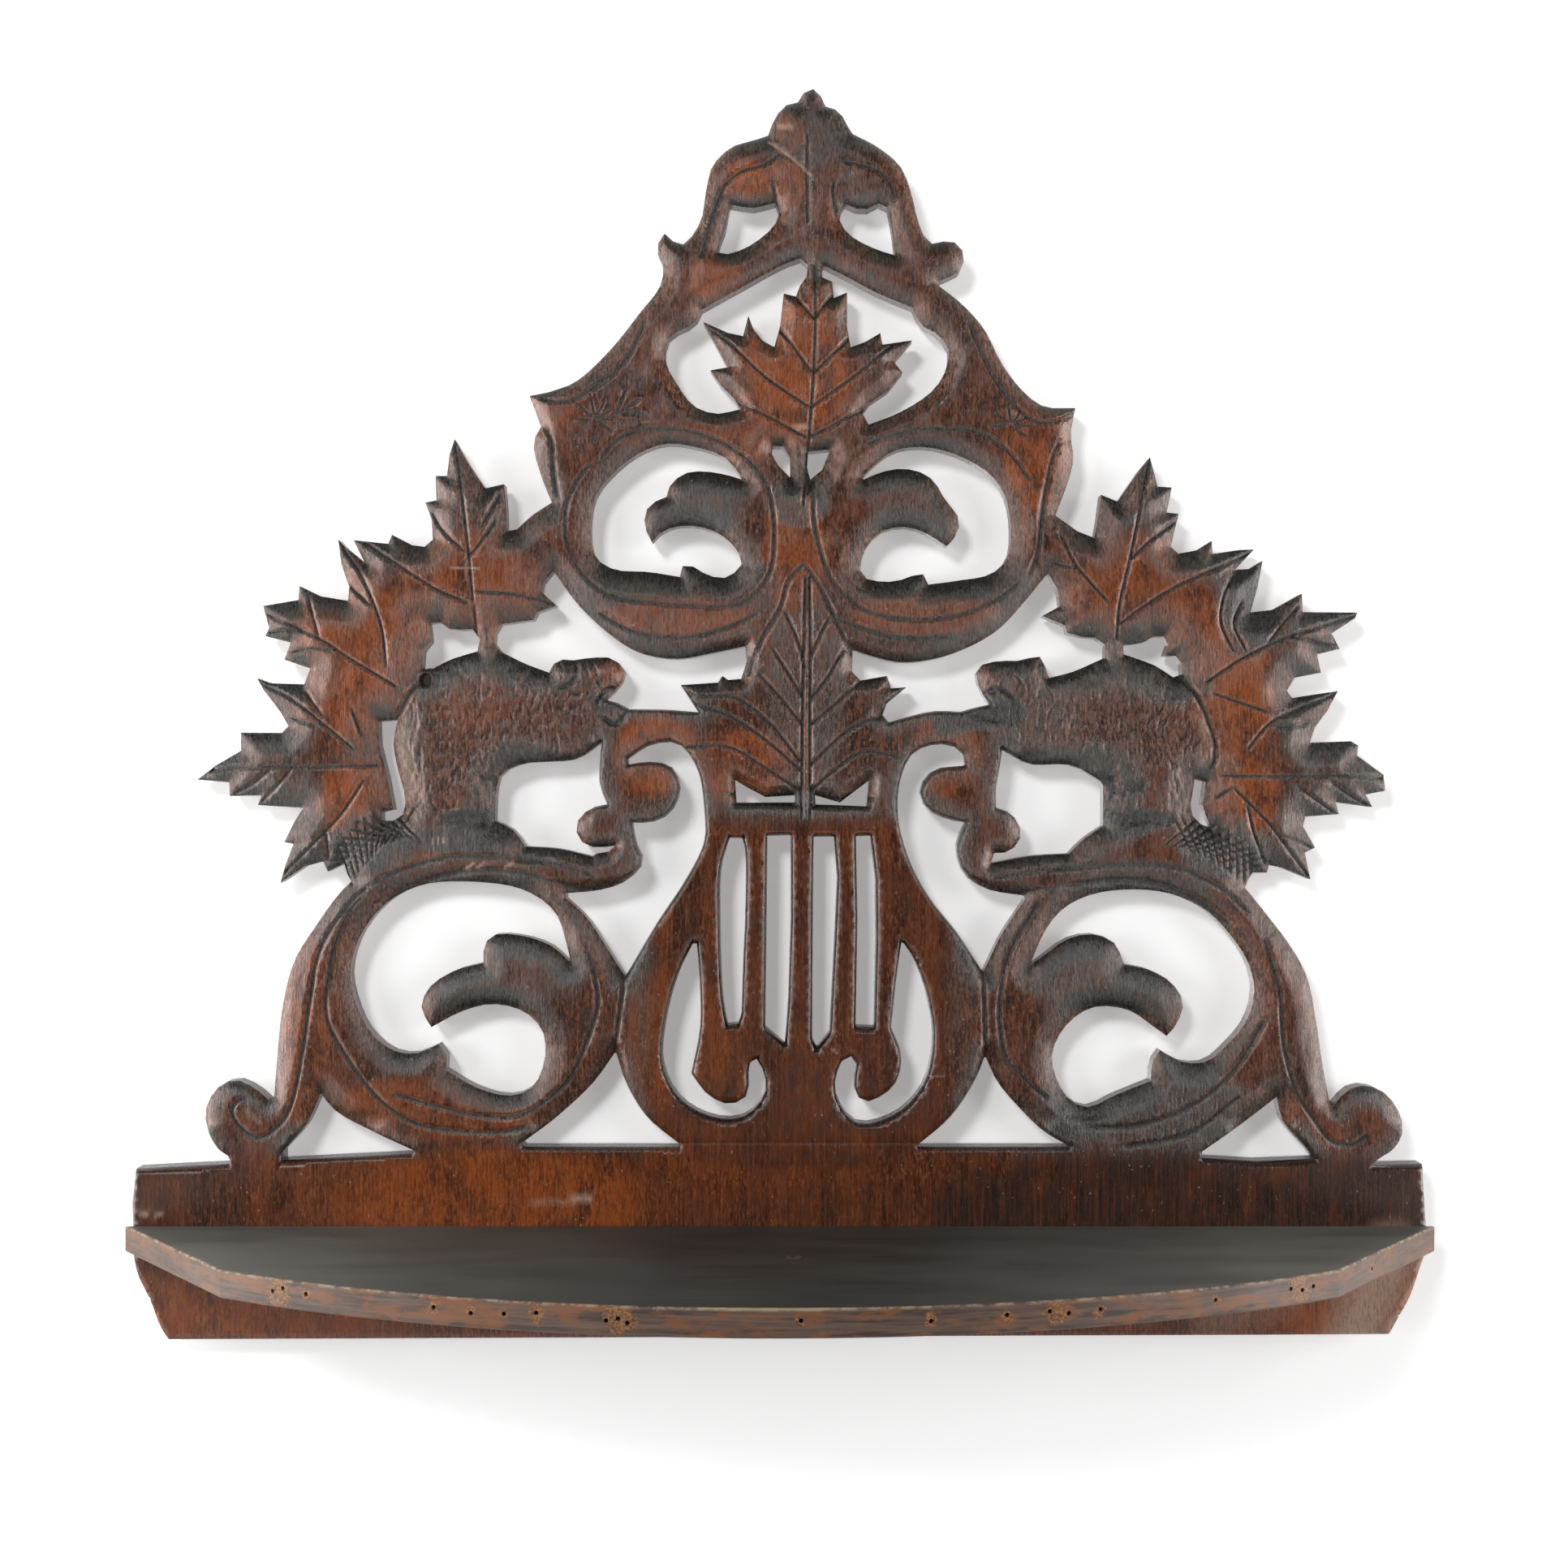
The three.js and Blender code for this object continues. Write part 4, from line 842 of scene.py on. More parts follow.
# Painted shade on up-facing slopes and the painted sheen on sideways ones go into the grime here.
up_slope_shade = np.clip(facing[:, 2], 0, UP_SLOPE_LIMIT) * UP_SLOPE_SHADE
first_wax_and_shade = corner_values["wax_and_shade"]
grime_and_painted_light = first_wax_and_shade + patches_at(all_points, GRIME_AND_SHADE) + up_slope_shade - corner_values["painted_side_sheen"] * SHEEN_CLEARS_GRIME
corner_values["wax_and_shade"] = np.where(first_wax_and_shade > VEIN_WAX, first_wax_and_shade, np.clip(grime_and_painted_light, 0, MOST_GRIME_AND_SHADE))
for name, values in corner_values.items():
    values[at_back] = BACK_WAX if name == "wax_and_shade" else 0
print("mean of each value:", {
    name: round(float(values.mean()), 2) for name, values in corner_values.items()})


# %% The finished board
def to_object(bm, name):
    """Turns a finished bmesh into an object in the scene."""
    mesh = bpy.data.meshes.new(name)
    bm.to_mesh(mesh)
    bm.free()
    made = bpy.data.objects.new(name, mesh)
    bpy.context.scene.collection.objects.link(made)
    return made


carved_board = to_object(board, "carved_board")
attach(carved_board, "root")
for name, values in corner_values.items():
    layer = carved_board.data.attributes.new(name, "FLOAT", "POINT")
    layer.data.foreach_set("value", values.astype(np.float32))
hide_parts("carved_back_panel")
print("carved board:", len(carved_board.data.polygons), "faces")

# %% [markdown]
# ## Materials
# Each finish is built from noise that reads the object's own coordinates, so its grain keeps a
# real size in millimetres. Colours are written as they look on a screen and turned to linear.
# One helper adds any node. A coat is a colour laid over the last one where a mask says so, the
# way stain, dirt and wear lie over each other on the real thing, and most of a finish is coats.

# %% Colours and nodes
def colour(hex_code):
    """An sRGB hex colour as linear RGBA."""
    parts = [int(hex_code[i:i + 2], 16) / 255 for i in (1, 3, 5)]
    return [c / 12.92 if c <= 0.04045 else ((c + 0.055) / 1.055) ** 2.4 for c in parts] + [1]


def add(tree, kind, *values, named=None, **options):
    """Adds a node. Values fill the sockets that it shows, in order, and named ones go by name."""
    node = tree.nodes.new("ShaderNode" + kind)
    for name, value in options.items():
        setattr(node, name, value)
    shown = [socket for socket in node.inputs if socket.enabled]
    filled = list(zip(shown, values))
    filled += [(node.inputs[name], value) for name, value in (named or {}).items()]
    for socket, value in filled:
        if isinstance(value, bpy.types.Node):
            value = next(out for out in value.outputs if out.enabled)
        if isinstance(value, bpy.types.NodeSocket):
            tree.links.new(value, socket)
        else:
            socket.default_value = value
    return node


def new_material(name):
    """An empty material and its tree of nodes."""
    material = bpy.data.materials.new(name)
    material.use_nodes = True
    tree = material.node_tree
    tree.nodes.clear()
    return material, tree


print("a mid grey is", round(colour("#808080")[0], 3), "in linear light")


# %% Patterns, coats and the end of a finish
def pattern(tree, place, size, detail=3, roughness=0.55, distortion=0.0):
    """Noise whose grains measure about size (x, y, z) in millimetres, from 0 to 1."""
    scaled = add(tree, "Mapping", place, named={"Scale": [1 / (s * MM) for s in size]})
    return add(tree, "TexNoise", scaled, 1.0, detail, roughness, named={"Distortion": distortion})


def coat(tree, under, over, mask, low=0.0, high=1.0, least=0.0, most=1.0, within=None):
    """Lays one colour over another as a mask goes from low to high, and within another mask."""
    share = add(tree, "MapRange", mask, low, high, least, most)
    if within is not None:
        share = add(tree, "Math", within, share, operation="MULTIPLY")
    under, over = (colour(c) if isinstance(c, str) else c for c in (under, over))
    return add(tree, "Mix", share, under, over, data_type="RGBA")


def surfaced(tree, body, rough, relief, strength, height, **look):
    """Ends a finish: its bumps of a height in millimetres, its sheen and its colour."""
    bumped = add(tree, "Bump", named={
        "Height": relief, "Strength": strength, "Distance": height * MM})
    shader = add(tree, "BsdfPrincipled", named={
        "Base Color": body, "Roughness": rough, "Normal": bumped, **look})
    add(tree, "OutputMaterial", shader)


# %% [markdown]
# ## Stained and waxed wood
# The board is a close-grained wood, taken to be maple, stained dark red-brown and waxed. The
# stain has sunk in unevenly and is rubbed thin on high spots, and old wax and dirt lie nearly
# black in the cuts. Its polish is what gives each sloping cut a soft shine, and slopes that face
# sideways also get a pale sheen painted on. Real fibres are finer than a picture shows, so they
# and the tool strokes are drawn about 1 mm wide.

# %% Coats that only the carved board has
def rubbed_thin(tree, place, body, mottle, kept):
    """Clear bands of grain on the plain wood, and red-brown where the stain is worn."""
    bands = pattern(tree, place, (9, 30, 90), 3, 0.5)
    body = coat(tree, body, "#693418", bands, 0.42, 0.58, 0.1, 0.7, within=kept["plain"])
    return coat(tree, body, "#904512", mottle, 0.38, 0.56, 0.25, 0.95, within=kept["wear"])


def grime_wax_and_painted_light(tree, body, fibres, mottle, strokes, kept):
    """Greyed fur, dirt and painted shade broken by the grain, painted sheen on sideways slopes,
    black cuts.
    """
    body = coat(tree, body, "#735448", strokes, 0.44, 0.6, 0.1, 0.9, within=kept["fur"])
    body = coat(tree, body, "#1c1410", kept["tuft"], 0.12, 0.45, 0, 0.75)
    dull = coat(tree, "#1f201b", "#43433e", strokes, 0.44, 0.6, 0.1, 0.9)
    dark_grain = coat(tree, "#190f0b", "#3c241a", fibres, 0.4, 0.62)
    dull = coat(tree, dull, dark_grain, kept["plain"], most=0.9)
    grime_and_shade = add(tree, "Math", kept["wear"], -0.12, kept["wax_and_shade"], operation="MULTIPLY_ADD")
    for grain, sway in ((mottle, 0.7), (strokes, 0.65)):
        swayed = add(tree, "MapRange", grain, 0, 1, -sway, sway)
        grime_and_shade = add(tree, "Math", grime_and_shade, swayed, operation="ADD")
    body = coat(tree, body, dull, grime_and_shade, 0.06, 0.56, 0, 0.95)
    # Painted highlight: a pale pinkish sheen laid over slopes that face sideways.
    painted_side_sheen = add(tree, "Math", kept["painted_side_sheen"], 0.5, operation="MULTIPLY")
    body = coat(tree, body, "#997666", strokes, 0.44, 0.6, 0.1, 0.9, within=painted_side_sheen)
    return coat(tree, body, "#0b0908", kept["wax_and_shade"], 0.55, 0.95, 0, 0.92)


def knocked(tree, place, body, strokes, kept):
    """Small pale flecks, in the pores and as painted glints, and larger chips, scratches and two
    painted highlights.
    """
    # Pale flecks: partly grains lodged in the pores, partly painted glints.
    flecks = pattern(tree, place, (1.2, 1.2, 1.6), 2, 0.5)
    body = coat(tree, body, "#a08d7a", flecks, 0.72, 0.76, 0, 0.7)
    return coat(tree, body, "#a88a78", strokes, 0.35, 0.55, 0.5, 1, within=kept["pale"])


def carved_relief(tree, relief, mottle, fibres, kept):
    """Bumps of the blade and the grain: stronger in the waxed cuts, gentle on plain wood."""
    relief = add(tree, "Math", mottle, 0.5, relief, operation="MULTIPLY_ADD")
    for value, high, least, most in ((kept["wax_and_shade"], 0.3, 0.5, 1.3), (kept["plain"], 1, 1, 0.3)):
        strength = add(tree, "MapRange", value, 0, high, least, most)
        relief = add(tree, "Math", relief, strength, operation="MULTIPLY")
    return add(tree, "Math", fibres, 0.3, relief, operation="MULTIPLY_ADD")


print("values that the board's finish reads:", ", ".join(corner_values))


# %% The wood itself
def stained_wood(name, carved):
    """A dark red-brown stain over fine upright grain; a carved board adds its wear and wax."""
    material, tree = new_material(name)
    place = add(tree, "TexCoord").outputs["Object"]
    fibres = pattern(tree, place, (0.9, 6, 22), 4, 0.7, 0.2)
    broad = pattern(tree, place, (24, 40, 34), 3, 0.5)
    mottle = pattern(tree, place, (7, 9, 12), 4, 0.64)
    strokes = pattern(tree, place, (0.75, 2, 2.8), 4, 0.75, 0.3)
    body = coat(tree, "#26110a", "#602d17", mottle, 0.4, 0.6)
    body = coat(tree, body, "#24140d", broad, 0.47, 0.62, 0, 0.75)
    relief = add(tree, "Math", strokes, 0.6, operation="MULTIPLY")
    if carved:
        kept = {value: add(tree, "Attribute", attribute_name=value).outputs["Fac"]
                for value in corner_values}
        body = rubbed_thin(tree, place, body, mottle, kept)
    for grain, low, high, most, tint in (
            (fibres, 0.52, 0.64, 0.4, "#8a4c24"), (fibres, 0.48, 0.36, 0.5, "#26150e"),
            (strokes, 0.53, 0.66, 0.6, "#985c34"), (strokes, 0.48, 0.36, 0.5, "#24160f")):
        body = coat(tree, body, tint, grain, low, high, 0, most)
    if carved:
        body = grime_wax_and_painted_light(tree, body, fibres, mottle, strokes, kept)
        body = knocked(tree, place, body, strokes, kept)
        relief = carved_relief(tree, relief, mottle, fibres, kept)
    rough = add(tree, "MapRange", strokes, 0.35, 0.65, 0.21, 0.35)
    surfaced(tree, body, rough, relief, 1.0, 0.5, IOR=1.45)
    return material


carved_wood = stained_wood("stained_waxed_maple", True)
carved_board.data.materials.append(carved_wood)
print("finish of the board:", len(carved_wood.node_tree.nodes), "nodes")

# %% [markdown]
# ## The shelf
# The shelf is a thin board with a bowed front and clipped ends, painted nearly black. Its front
# edge is bare of the fringe that was once tacked there, so it shows tack holes, and its arris is
# rubbed down to the wood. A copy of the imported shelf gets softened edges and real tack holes.
# Dark spots in the finish would be quicker than holes, but would look flat from close by.

# %% A softened copy of the shelf
ARRIS = 0.7
ARRIS_ANGLE = math.radians(25)
SHORTEST_ARRIS = 4
IN_FRONT = 0.2
FLAT_ANGLE = math.radians(0.5)
shelf = bmesh.new()
shelf.from_mesh(nodes["shelf_board"].data)
bmesh.ops.remove_doubles(shelf, verts=shelf.verts, dist=SAME_POINT * MM)
bmesh.ops.dissolve_limit(
    shelf, angle_limit=FLAT_ANGLE, verts=shelf.verts[:], edges=shelf.edges[:])
arrises = [
    e for e in shelf.edges
    if len(e.link_faces) == 2 and e.calc_face_angle(0) > ARRIS_ANGLE
    and max(v.co.y for v in e.verts) < (BOARD_FACE + IN_FRONT) * MM
    and e.calc_length() > SHORTEST_ARRIS * MM
]
bmesh.ops.bevel(
    shelf, geom=arrises, offset=ARRIS * MM, affect="EDGES", segments=3, profile=0.5, material=-1)
for face in shelf.faces:
    face.smooth = True
print(len(arrises), "edges of the shelf softened")

# %% The line of the shelf's edge
SHELF_HALF = 254.4
CLIP_X = 197.4
CLIP_Y = -95.0
CLIP_DEPTH = 82
CLIP_OUT = (CLIP_DEPTH, -57)
BOW = 60.0
BOW_RADIUS = (CLIP_X**2 + BOW**2) / (2 * BOW)
BOW_CENTRE_Y = CLIP_Y - BOW + BOW_RADIUS


def edge_of_shelf(x):
    """Place and outward direction of the shelf's edge at a distance from the middle."""
    if abs(x) < CLIP_X:
        reach = math.sqrt(BOW_RADIUS**2 - x**2)
        return Vector((x, BOW_CENTRE_Y - reach, 0)), Vector((x, -reach, 0)).normalized()
    run = (abs(x) - CLIP_X) / (SHELF_HALF - CLIP_X)
    out = Vector((math.copysign(CLIP_OUT[0], x), CLIP_OUT[1], 0)).normalized()
    return Vector((x, CLIP_Y + run * CLIP_DEPTH, 0)), out


print("the bow has a radius of", round(BOW_RADIUS, 1), "mm")

# %% Where the tacks were, as (x, z), and cuts beside each that keep the faces there small
TACK_HOLES = [
    (-176, -4.5), (-172, -3), (-163, -4), (-116, -4), (-103, -5), (-91.5, -4.5), (-80.5, -3.5),
    (-57, -5), (-53, -4.2), (-50, -5.6), (7.2, -4), (50, -5), (75.5, -4), (90, -3.6),
    (96.5, -4.6), (107.5, -4), (149, -4.5), (178, -4), (182.5, -5), (187, -4.2), (216, -5),
]
SLICE_OFFSET = 1.6
SLICE_REACH = 12
UPRIGHT = 0.3
for x, z in TACK_HOLES:
    spot, out = edge_of_shelf(x)
    along = Vector((-out.y, out.x, 0))
    for shift in (-SLICE_OFFSET, SLICE_OFFSET):
        strip = [f for f in shelf.faces if abs(f.normal.z) < UPRIGHT
                 and (f.calc_center_median() / MM - spot).length < SLICE_REACH]
        strip_edges = dict.fromkeys(e for f in strip for e in f.edges)
        bmesh.ops.bisect_plane(
            shelf, geom=strip + list(strip_edges),
            plane_co=(spot + along * shift) * MM, plane_no=along)
print(len(shelf.faces), "faces on the shelf")

# %% A peg in the place of each tack
TACK_WIDTH = 1.5
TACK_TAPER = (0.35, 0.62)
TACK_DEPTH = 2.5
PROUD = 0.5
pegs = bmesh.new()
for x, z in TACK_HOLES:
    spot, out = edge_of_shelf(x)
    turn = Vector((0, 0, 1)).rotation_difference(out).to_matrix().to_4x4()
    turn.translation = (spot + Vector((0, 0, z)) - out * (TACK_DEPTH / 2 - PROUD)) * MM
    bmesh.ops.create_cone(
        pegs, cap_ends=True, segments=10, radius1=TACK_WIDTH * TACK_TAPER[0] * MM,
        radius2=TACK_WIDTH * TACK_TAPER[1] * MM, depth=(TACK_DEPTH + 2 * PROUD) * MM,
        matrix=turn)
peg_object = to_object(pegs, "tack_pegs")
print(len(TACK_HOLES), "pegs")

# %% Cut the pegs out of the shelf
HOLE_ANGLE = math.radians(32)
LEVEL_FACE = 0.1
worn_shelf = to_object(shelf, "worn_shelf")
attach(worn_shelf, "root")
holes = worn_shelf.modifiers.new("tack_holes", "BOOLEAN")
holes.operation = "DIFFERENCE"
holes.solver = "EXACT"
holes.object = peg_object
bpy.context.view_layer.update()
finished = bpy.data.meshes.new_from_object(
    worn_shelf.evaluated_get(bpy.context.evaluated_depsgraph_get()))
worn_shelf.modifiers.clear()
worn_shelf.data = finished
bpy.data.objects.remove(peg_object)
finished.set_sharp_from_angle(angle=HOLE_ANGLE)
for face in finished.polygons:
    face.use_smooth = abs(face.normal.z) > LEVEL_FACE
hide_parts("shelf_board")
print("worn shelf:", len(finished.polygons), "faces, box", [
    round(v / MM, 2) for v in worn_shelf.dimensions])

# %% [markdown]
# ## Worn black paint
# The top is brushed with a satin near-black, lighter towards its ends with dust and a painted
# sheen. The bare edge shows sawn wood under thin brown remains, paler chips round the tack
# holes and a rubbed arris. The finish has to know how far a point is from the edge, so the shader
# works that out from the bow and the two clipped ends. A second material on the edge would leave
# a hard line instead.

# %% Chips round the tack holes, as (x, reach), and the bare edge
CHIPS = [(-174, 6), (-163, 2), (-116, 3), (-103, 2), (-91.5, 2), (-80.5, 3.4), (-53, 6), (7, 2),
         (50, 2.4), (75.5, 2.4), (92, 4.5), (107, 2.4), (149, 2), (182, 5.5), (216, 2.5)]
CHIP_Z = -4.4


def bare_edge(tree, place, away, specks, fine):
    """Sawn wood with brown remains, chips with ragged outlines, and rubbed ends."""
    sawn = pattern(tree, place, (34, 20, 1.6), 3, 0.6)
    remains = pattern(tree, place, (15, 12, 5), 4, 0.65)
    edge = coat(tree, "#3a2e28", "#624e43", sawn, 0.38, 0.64)
    edge = coat(tree, edge, "#7a4c2c", remains, 0.5, 0.6, 0, 0.7)
    nearest = 9.0
    for x, reach in CHIPS:
        spot = edge_of_shelf(x)[0] + Vector((0, 0, CHIP_Z))
        off = add(tree, "VectorMath", place, spot * MM, operation="DISTANCE")
        off = add(tree, "Math", off, reach * MM, operation="DIVIDE")
        nearest = add(tree, "Math", nearest, off, operation="MINIMUM")
    ragged = add(tree, "Math", specks, 2.4, nearest, operation="MULTIPLY_ADD")
    chip = coat(tree, "#4a2f1c", "#94663f", fine, 0.4, 0.6)
    edge = coat(tree, edge, chip, ragged, 2.15, 1.95, 0, 0.9)
    ends = add(tree, "MapRange", away, 170 * MM, 250 * MM)
    return coat(tree, edge, "#55402f", specks, 0.4, 0.6, 0.1, 0.9, within=ends)


def distance_inside(tree, x, y, away):
    """How far in from the bowed front and the clipped ends each point is, in metres."""
    centred = add(tree, "Math", y, BOW_CENTRE_Y * MM, operation="SUBTRACT")
    reach = add(tree, "VectorMath", add(tree, "CombineXYZ", x, centred), operation="LENGTH")
    from_bow = add(tree, "Math", BOW_RADIUS * MM, reach, operation="SUBTRACT")
    out = Vector(CLIP_OUT).normalized()
    clip_at = (SHELF_HALF * out.x + BOARD_FACE * out.y) * MM
    across = add(tree, "Math", y, out.y, operation="MULTIPLY")
    across = add(tree, "Math", away, out.x, across, operation="MULTIPLY_ADD")
    from_clip = add(tree, "Math", clip_at, across, operation="SUBTRACT")
    return add(tree, "Math", from_bow, from_clip, operation="MINIMUM")


print(len(CHIPS), "chips round the tack holes")


# %% The painted top, and both put together
def painted_top(tree, away, broad, brush):
    """Near-black satin paint with brush marks, dusty grey towards the ends, with a painted sheen
    there.
    """
    top = coat(tree, "#1f1e1b", "#2c2b27", broad, 0.35, 0.65)
    top = coat(tree, top, "#45423a", brush, 0.5, 0.75, 0, 0.4)
    # Dust and painted sheen: the top is laid over with a paler grey towards its ends.
    ends = add(tree, "MapRange", away, 40 * MM, 170 * MM)
    return coat(tree, top, "#50504a", broad, 0.35, 0.6, 0.6, 1.0, within=ends)


def rubbed_arris(tree, x, z, inward, specks):
    """1 on the top corner of the edge where it is rubbed, most of all at the middle."""
    corner = add(tree, "Math", add(tree, "MapRange", z, -1.2 * MM, -0.3 * MM),
                 add(tree, "MapRange", inward, 1.3 * MM, 0.3 * MM), operation="MULTIPLY")
    off_middle = add(tree, "Math", x, 2 * MM, operation="ADD")
    off_middle = add(tree, "Math", off_middle, operation="ABSOLUTE")
    rubbed = add(tree, "Math", add(tree, "MapRange", off_middle, 30 * MM, 16 * MM, 0, 0.9),
                 add(tree, "MapRange", specks, 0.44, 0.58, 0, 0.8), operation="ADD")
    return add(tree, "Math", corner, rubbed, operation="MULTIPLY")


def worn_paint():
    """Old near-black paint on wood: satin on top, brown and rubbed at the bare edge."""
    material, tree = new_material("worn_black_paint")
    place = add(tree, "TexCoord").outputs["Object"]
    x, y, z = add(tree, "SeparateXYZ", place).outputs
    away = add(tree, "Math", x, operation="ABSOLUTE")
    broad = pattern(tree, place, (70, 24, 30), 3, 0.5)
    brush = pattern(tree, place, (60, 1.6, 3), 3, 0.6)
    specks = pattern(tree, place, (4, 3, 3), 4, 0.65)
    fine = pattern(tree, place, (0.9, 0.7, 0.7), 3, 0.6)
    inward = distance_inside(tree, x, y, away)
    body = coat(tree, painted_top(tree, away, broad, brush),
                bare_edge(tree, place, away, specks, fine), inward, 1.0 * MM, 0.2 * MM)
    body = coat(tree, body, "#95866f", rubbed_arris(tree, x, z, inward, specks))
    rough = add(tree, "MapRange", broad, 0.3, 0.7, 0.48, 0.58)
    relief = add(tree, "Math", brush, 0.4, operation="MULTIPLY")
    relief = add(tree, "Math", fine, 0.3, relief, operation="MULTIPLY_ADD")
    surfaced(tree, body, rough, relief, 0.5, 0.3, IOR=1.4)
    return material


black_paint = worn_paint()
finished.materials.clear()
finished.materials.append(black_paint)
print("finish of the shelf:", len(black_paint.node_tree.nodes), "nodes")

# %% [markdown]
# ## The bracket and the screws
# Under the shelf a plain shaped bracket takes its weight, and seven steel screws hold the three
# wooden pieces together. Their shapes are right as packed, so they only get their finishes: the
# board's stained wood without its wear, and a drawn steel that has lost its shine.

# %% Plain wood and steel
bracket_wood = stained_wood("plain_stained_wood", False)


def aged_steel():
    """Drawn and headed steel, dulled by age: fine turned lines and a few rust-brown specks."""
    material, tree = new_material("aged_screw_steel")
    place = add(tree, "TexCoord").outputs["Object"]
    specks = pattern(tree, place, (1.2, 1.2, 1.2), 4, 0.65)
    lines = pattern(tree, place, (0.3, 0.3, 2), 2, 0.5)
    body = coat(tree, "#8f8b84", "#5a4030", specks, 0.5, 0.68, 0, 0.7)
    rough = add(tree, "MapRange", specks, 0.3, 0.7, 0.3, 0.5)
    surfaced(tree, body, rough, lines, 0.4, 0.1, Metallic=1.0)
    return material


screw_steel = aged_steel()
for name, part in nodes.items():
    if "screw" in name or name == "shelf_bracket":
        for slot in part.material_slots:
            slot.material = bracket_wood if name == "shelf_bracket" else screw_steel
print("bracket and", sum("screw" in name for name in nodes), "screws finished")

# %% [markdown]
# ## The room
# The shelf hangs against a white wall. A lamp in front and above and two at the front corners
# show the colours as they are written. Two tall lamps at the sides only graze the face, so the
# flat wood stays dark while every slope that faces sideways shines, as in the photograph. The
# wall lets the light of a lamp behind it through, so the back of the board can be seen too. A
# dark curtain behind the camera keeps the white of the studio out of the wood's polish.

# %% Wall, floor and curtain
WALL_Y = 0.004
FLOOR_Z = -0.35
ROOM = 2
CURTAIN_Y = -2.1
CURTAIN = 9


def sheet(name, corners):
    """A flat sheet of the room between four corners."""
    bm = bmesh.new()
    bm.faces.new([bm.verts.new(c) for c in corners])
    made = to_object(bm, name)
    return made


wall = sheet("wall", [(-ROOM, WALL_Y, FLOOR_Z), (ROOM, WALL_Y, FLOOR_Z), (ROOM, WALL_Y, ROOM),
                      (-ROOM, WALL_Y, ROOM)])
floor = sheet("floor", [(-ROOM, -ROOM, FLOOR_Z), (ROOM, -ROOM, FLOOR_Z),
                        (ROOM, WALL_Y, FLOOR_Z), (-ROOM, WALL_Y, FLOOR_Z)])
curtain = sheet("dark_curtain", [(-CURTAIN, CURTAIN_Y, 1 - CURTAIN),
                                 (CURTAIN, CURTAIN_Y, 1 - CURTAIN),
                                 (CURTAIN, CURTAIN_Y, CURTAIN), (-CURTAIN, CURTAIN_Y, CURTAIN)])
wall.visible_shadow = False
curtain.visible_camera = curtain.visible_diffuse = curtain.visible_shadow = False
print("wall, floor and curtain stand round the shelf")

# %% A dim disc on the wall behind the hole in the left beaver's rump, as painted shade in that hole
HANGING_HOLE = Vector((-138.2, 0, 212.4)) * MM
SHADE_DISC_RADIUS = 5
shade_disc = bmesh.new()
bmesh.ops.create_circle(shade_disc, cap_ends=True, segments=24, radius=SHADE_DISC_RADIUS * MM, matrix=(
    Matrix.Translation(HANGING_HOLE + Vector((0, WALL_Y - 0.5 * MM, 0)))
    @ Matrix.Rotation(math.radians(90), 4, "X")))
painted_shade_disc = to_object(shade_disc, "painted_shade_disc")
print("plug at", [round(v / MM, 1) for v in HANGING_HOLE])


# %% Finishes of the room
def seen_directly(tree):
    """1 for the camera and for what metal or glass mirrors or lets through, 0 for other light."""
    path = add(tree, "LightPath").outputs
    seen = path["Is Camera Ray"]
    for ray in ("Is Glossy Ray", "Is Transmission Ray"):
        seen = add(tree, "Math", seen, path[ray], operation="MAXIMUM")
    return seen


def room_finish(name, lit, shown="#ffffff", lift=0.3):
    """Matt colour, lifted where it is seen, and clear when it is seen from behind."""
    material, tree = new_material(name)
    glow = add(tree, "Emission", (1, 1, 1, 1), lift)
    lifted = add(tree, "AddShader", add(tree, "BsdfDiffuse", colour(shown)), glow)
    matt = add(tree, "BsdfDiffuse", colour(lit))
    front = add(tree, "MixShader", seen_directly(tree), matt, lifted)
    behind = add(tree, "NewGeometry").outputs["Backfacing"]
    both = add(tree, "MixShader", behind, front, add(tree, "BsdfTransparent"))
    add(tree, "OutputMaterial", both)
    return material


wall.data.materials.append(room_finish("matt_white_wall", "#f2f2f2"))
floor.data.materials.append(room_finish("matt_white_floor", "#8a8a8a", "#f4f4f4", 0.2))
# Painted shade: the disc has almost no lift, so the hole shows dark, not the white wall.
painted_shade_disc.data.materials.append(room_finish("painted_shade_disc_finish", "#9a9b8c", "#9a9b8c", 0.02))
curtain_black, tree = new_material("black_curtain_cloth")
add(tree, "OutputMaterial", add(tree, "BsdfDiffuse", colour("#1a1a1a")))
curtain.data.materials.append(curtain_black)
print("the room is white, and the curtain dark")

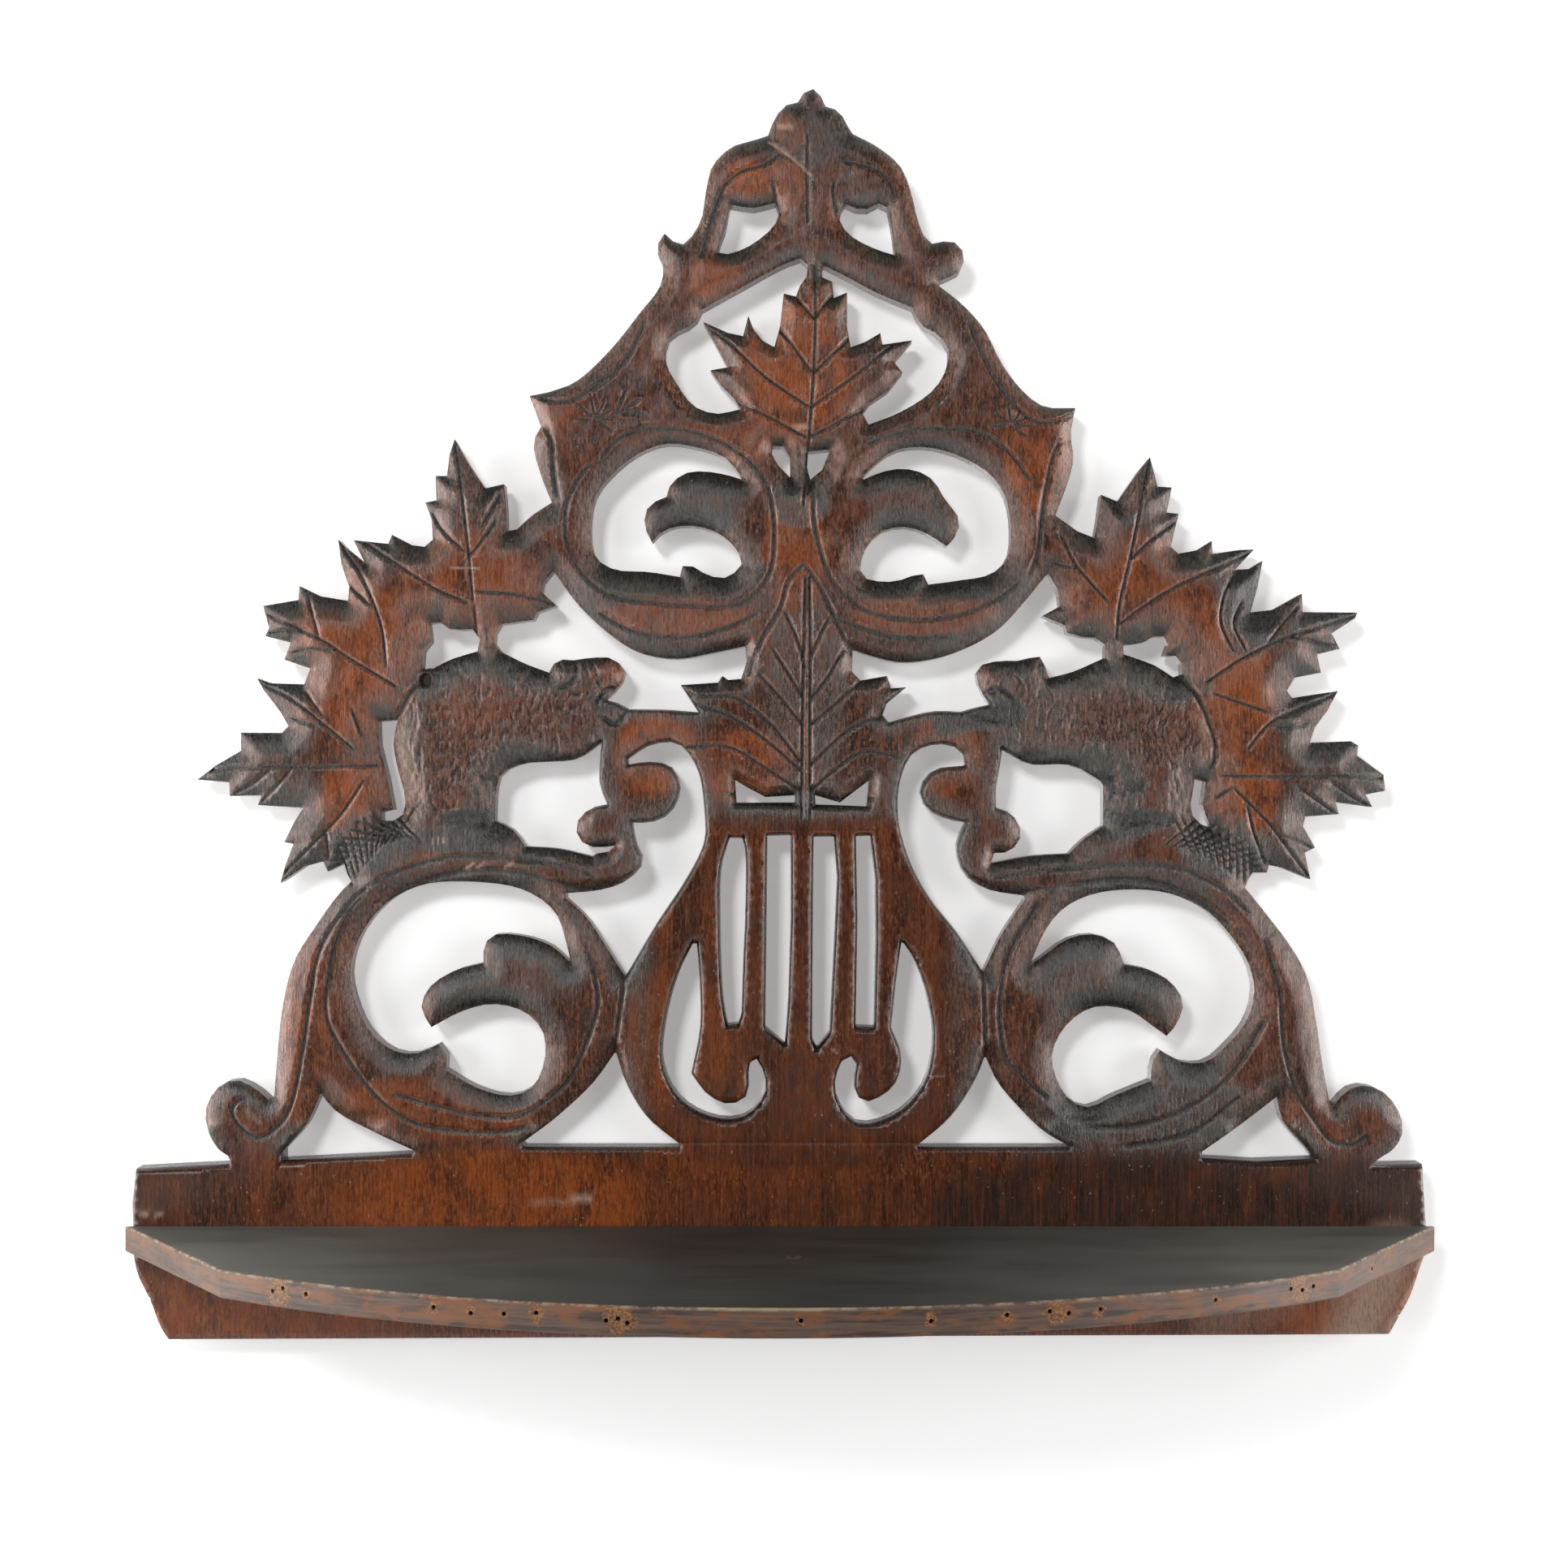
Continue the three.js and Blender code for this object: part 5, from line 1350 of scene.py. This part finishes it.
# %% Lamps, as (name, place, aim, size, watts)
LAMPS = [
    ("high_lamp", (-0.75, -1.8, 1.1), (0, 0, 0.15), (0.4, 0.4), 17.5),
    ("front_left_lamp", (-1.4, -1.15, 0.3), (0, 0, 0.15), (0.6, 0.8), 7),
    ("front_right_lamp", (1.4, -1.15, 0.3), (0, 0, 0.15), (0.6, 0.8), 6),
    ("left_lamp", (-1.5, -0.22, 0.2), (0, 0, 0.2), (0.4, 1.0), 26),
    ("right_lamp", (1.5, -0.22, 0.2), (0, 0, 0.2), (0.4, 1.0), 23),
    ("back_lamp", (-0.2, 1.8, -0.1), (0, 0, 0.2), (1.2, 0.6), 22),
]
for name, place, aim, size, watts in LAMPS:
    data = bpy.data.lights.new(name, "AREA")
    data.shape = "RECTANGLE"
    data.size, data.size_y = size
    data.energy = watts
    lamp = bpy.data.objects.new(name, data)
    lamp.location = place
    lamp.rotation_euler = (Vector(aim) - Vector(place)).to_track_quat("-Z", "Y").to_euler()
    bpy.context.scene.collection.objects.link(lamp)
print(len(LAMPS), "lamps")

# %% The light from all round, and the white that the camera sees
SKY_LIGHT = 0.07
world = bpy.data.worlds.new("studio")
world.use_nodes = True
sky = world.node_tree
sky.nodes.clear()
dim = add(sky, "Background", colour("#f4f5f6"), SKY_LIGHT)
white = add(sky, "Background", (1, 1, 1, 1), 1.0)
add(sky, "OutputWorld", add(sky, "MixShader", seen_directly(sky), dim, white))
bpy.context.scene.world = world
print("light from all round:", SKY_LIGHT)

# %% [markdown]
# ## The camera
# The photograph was taken square on from about 0.9 m, level with the middle of the carving, so
# the shelf below it is seen from above. From further off, with a longer lens, less of the
# shelf's top would show.

# %% Camera and colour
camera_data = bpy.data.cameras.new("camera")
camera_data.lens = 53.2
camera_data.sensor_width = 36
camera = bpy.data.objects.new("camera", camera_data)
camera.location = (0.0016, -0.913, 0.1716)
camera.rotation_euler = (math.radians(90), 0, 0)
bpy.context.scene.collection.objects.link(camera)
bpy.context.scene.camera = camera
bpy.context.scene.view_settings.view_transform = "Standard"
print("camera at", [round(v, 3) for v in camera.location])
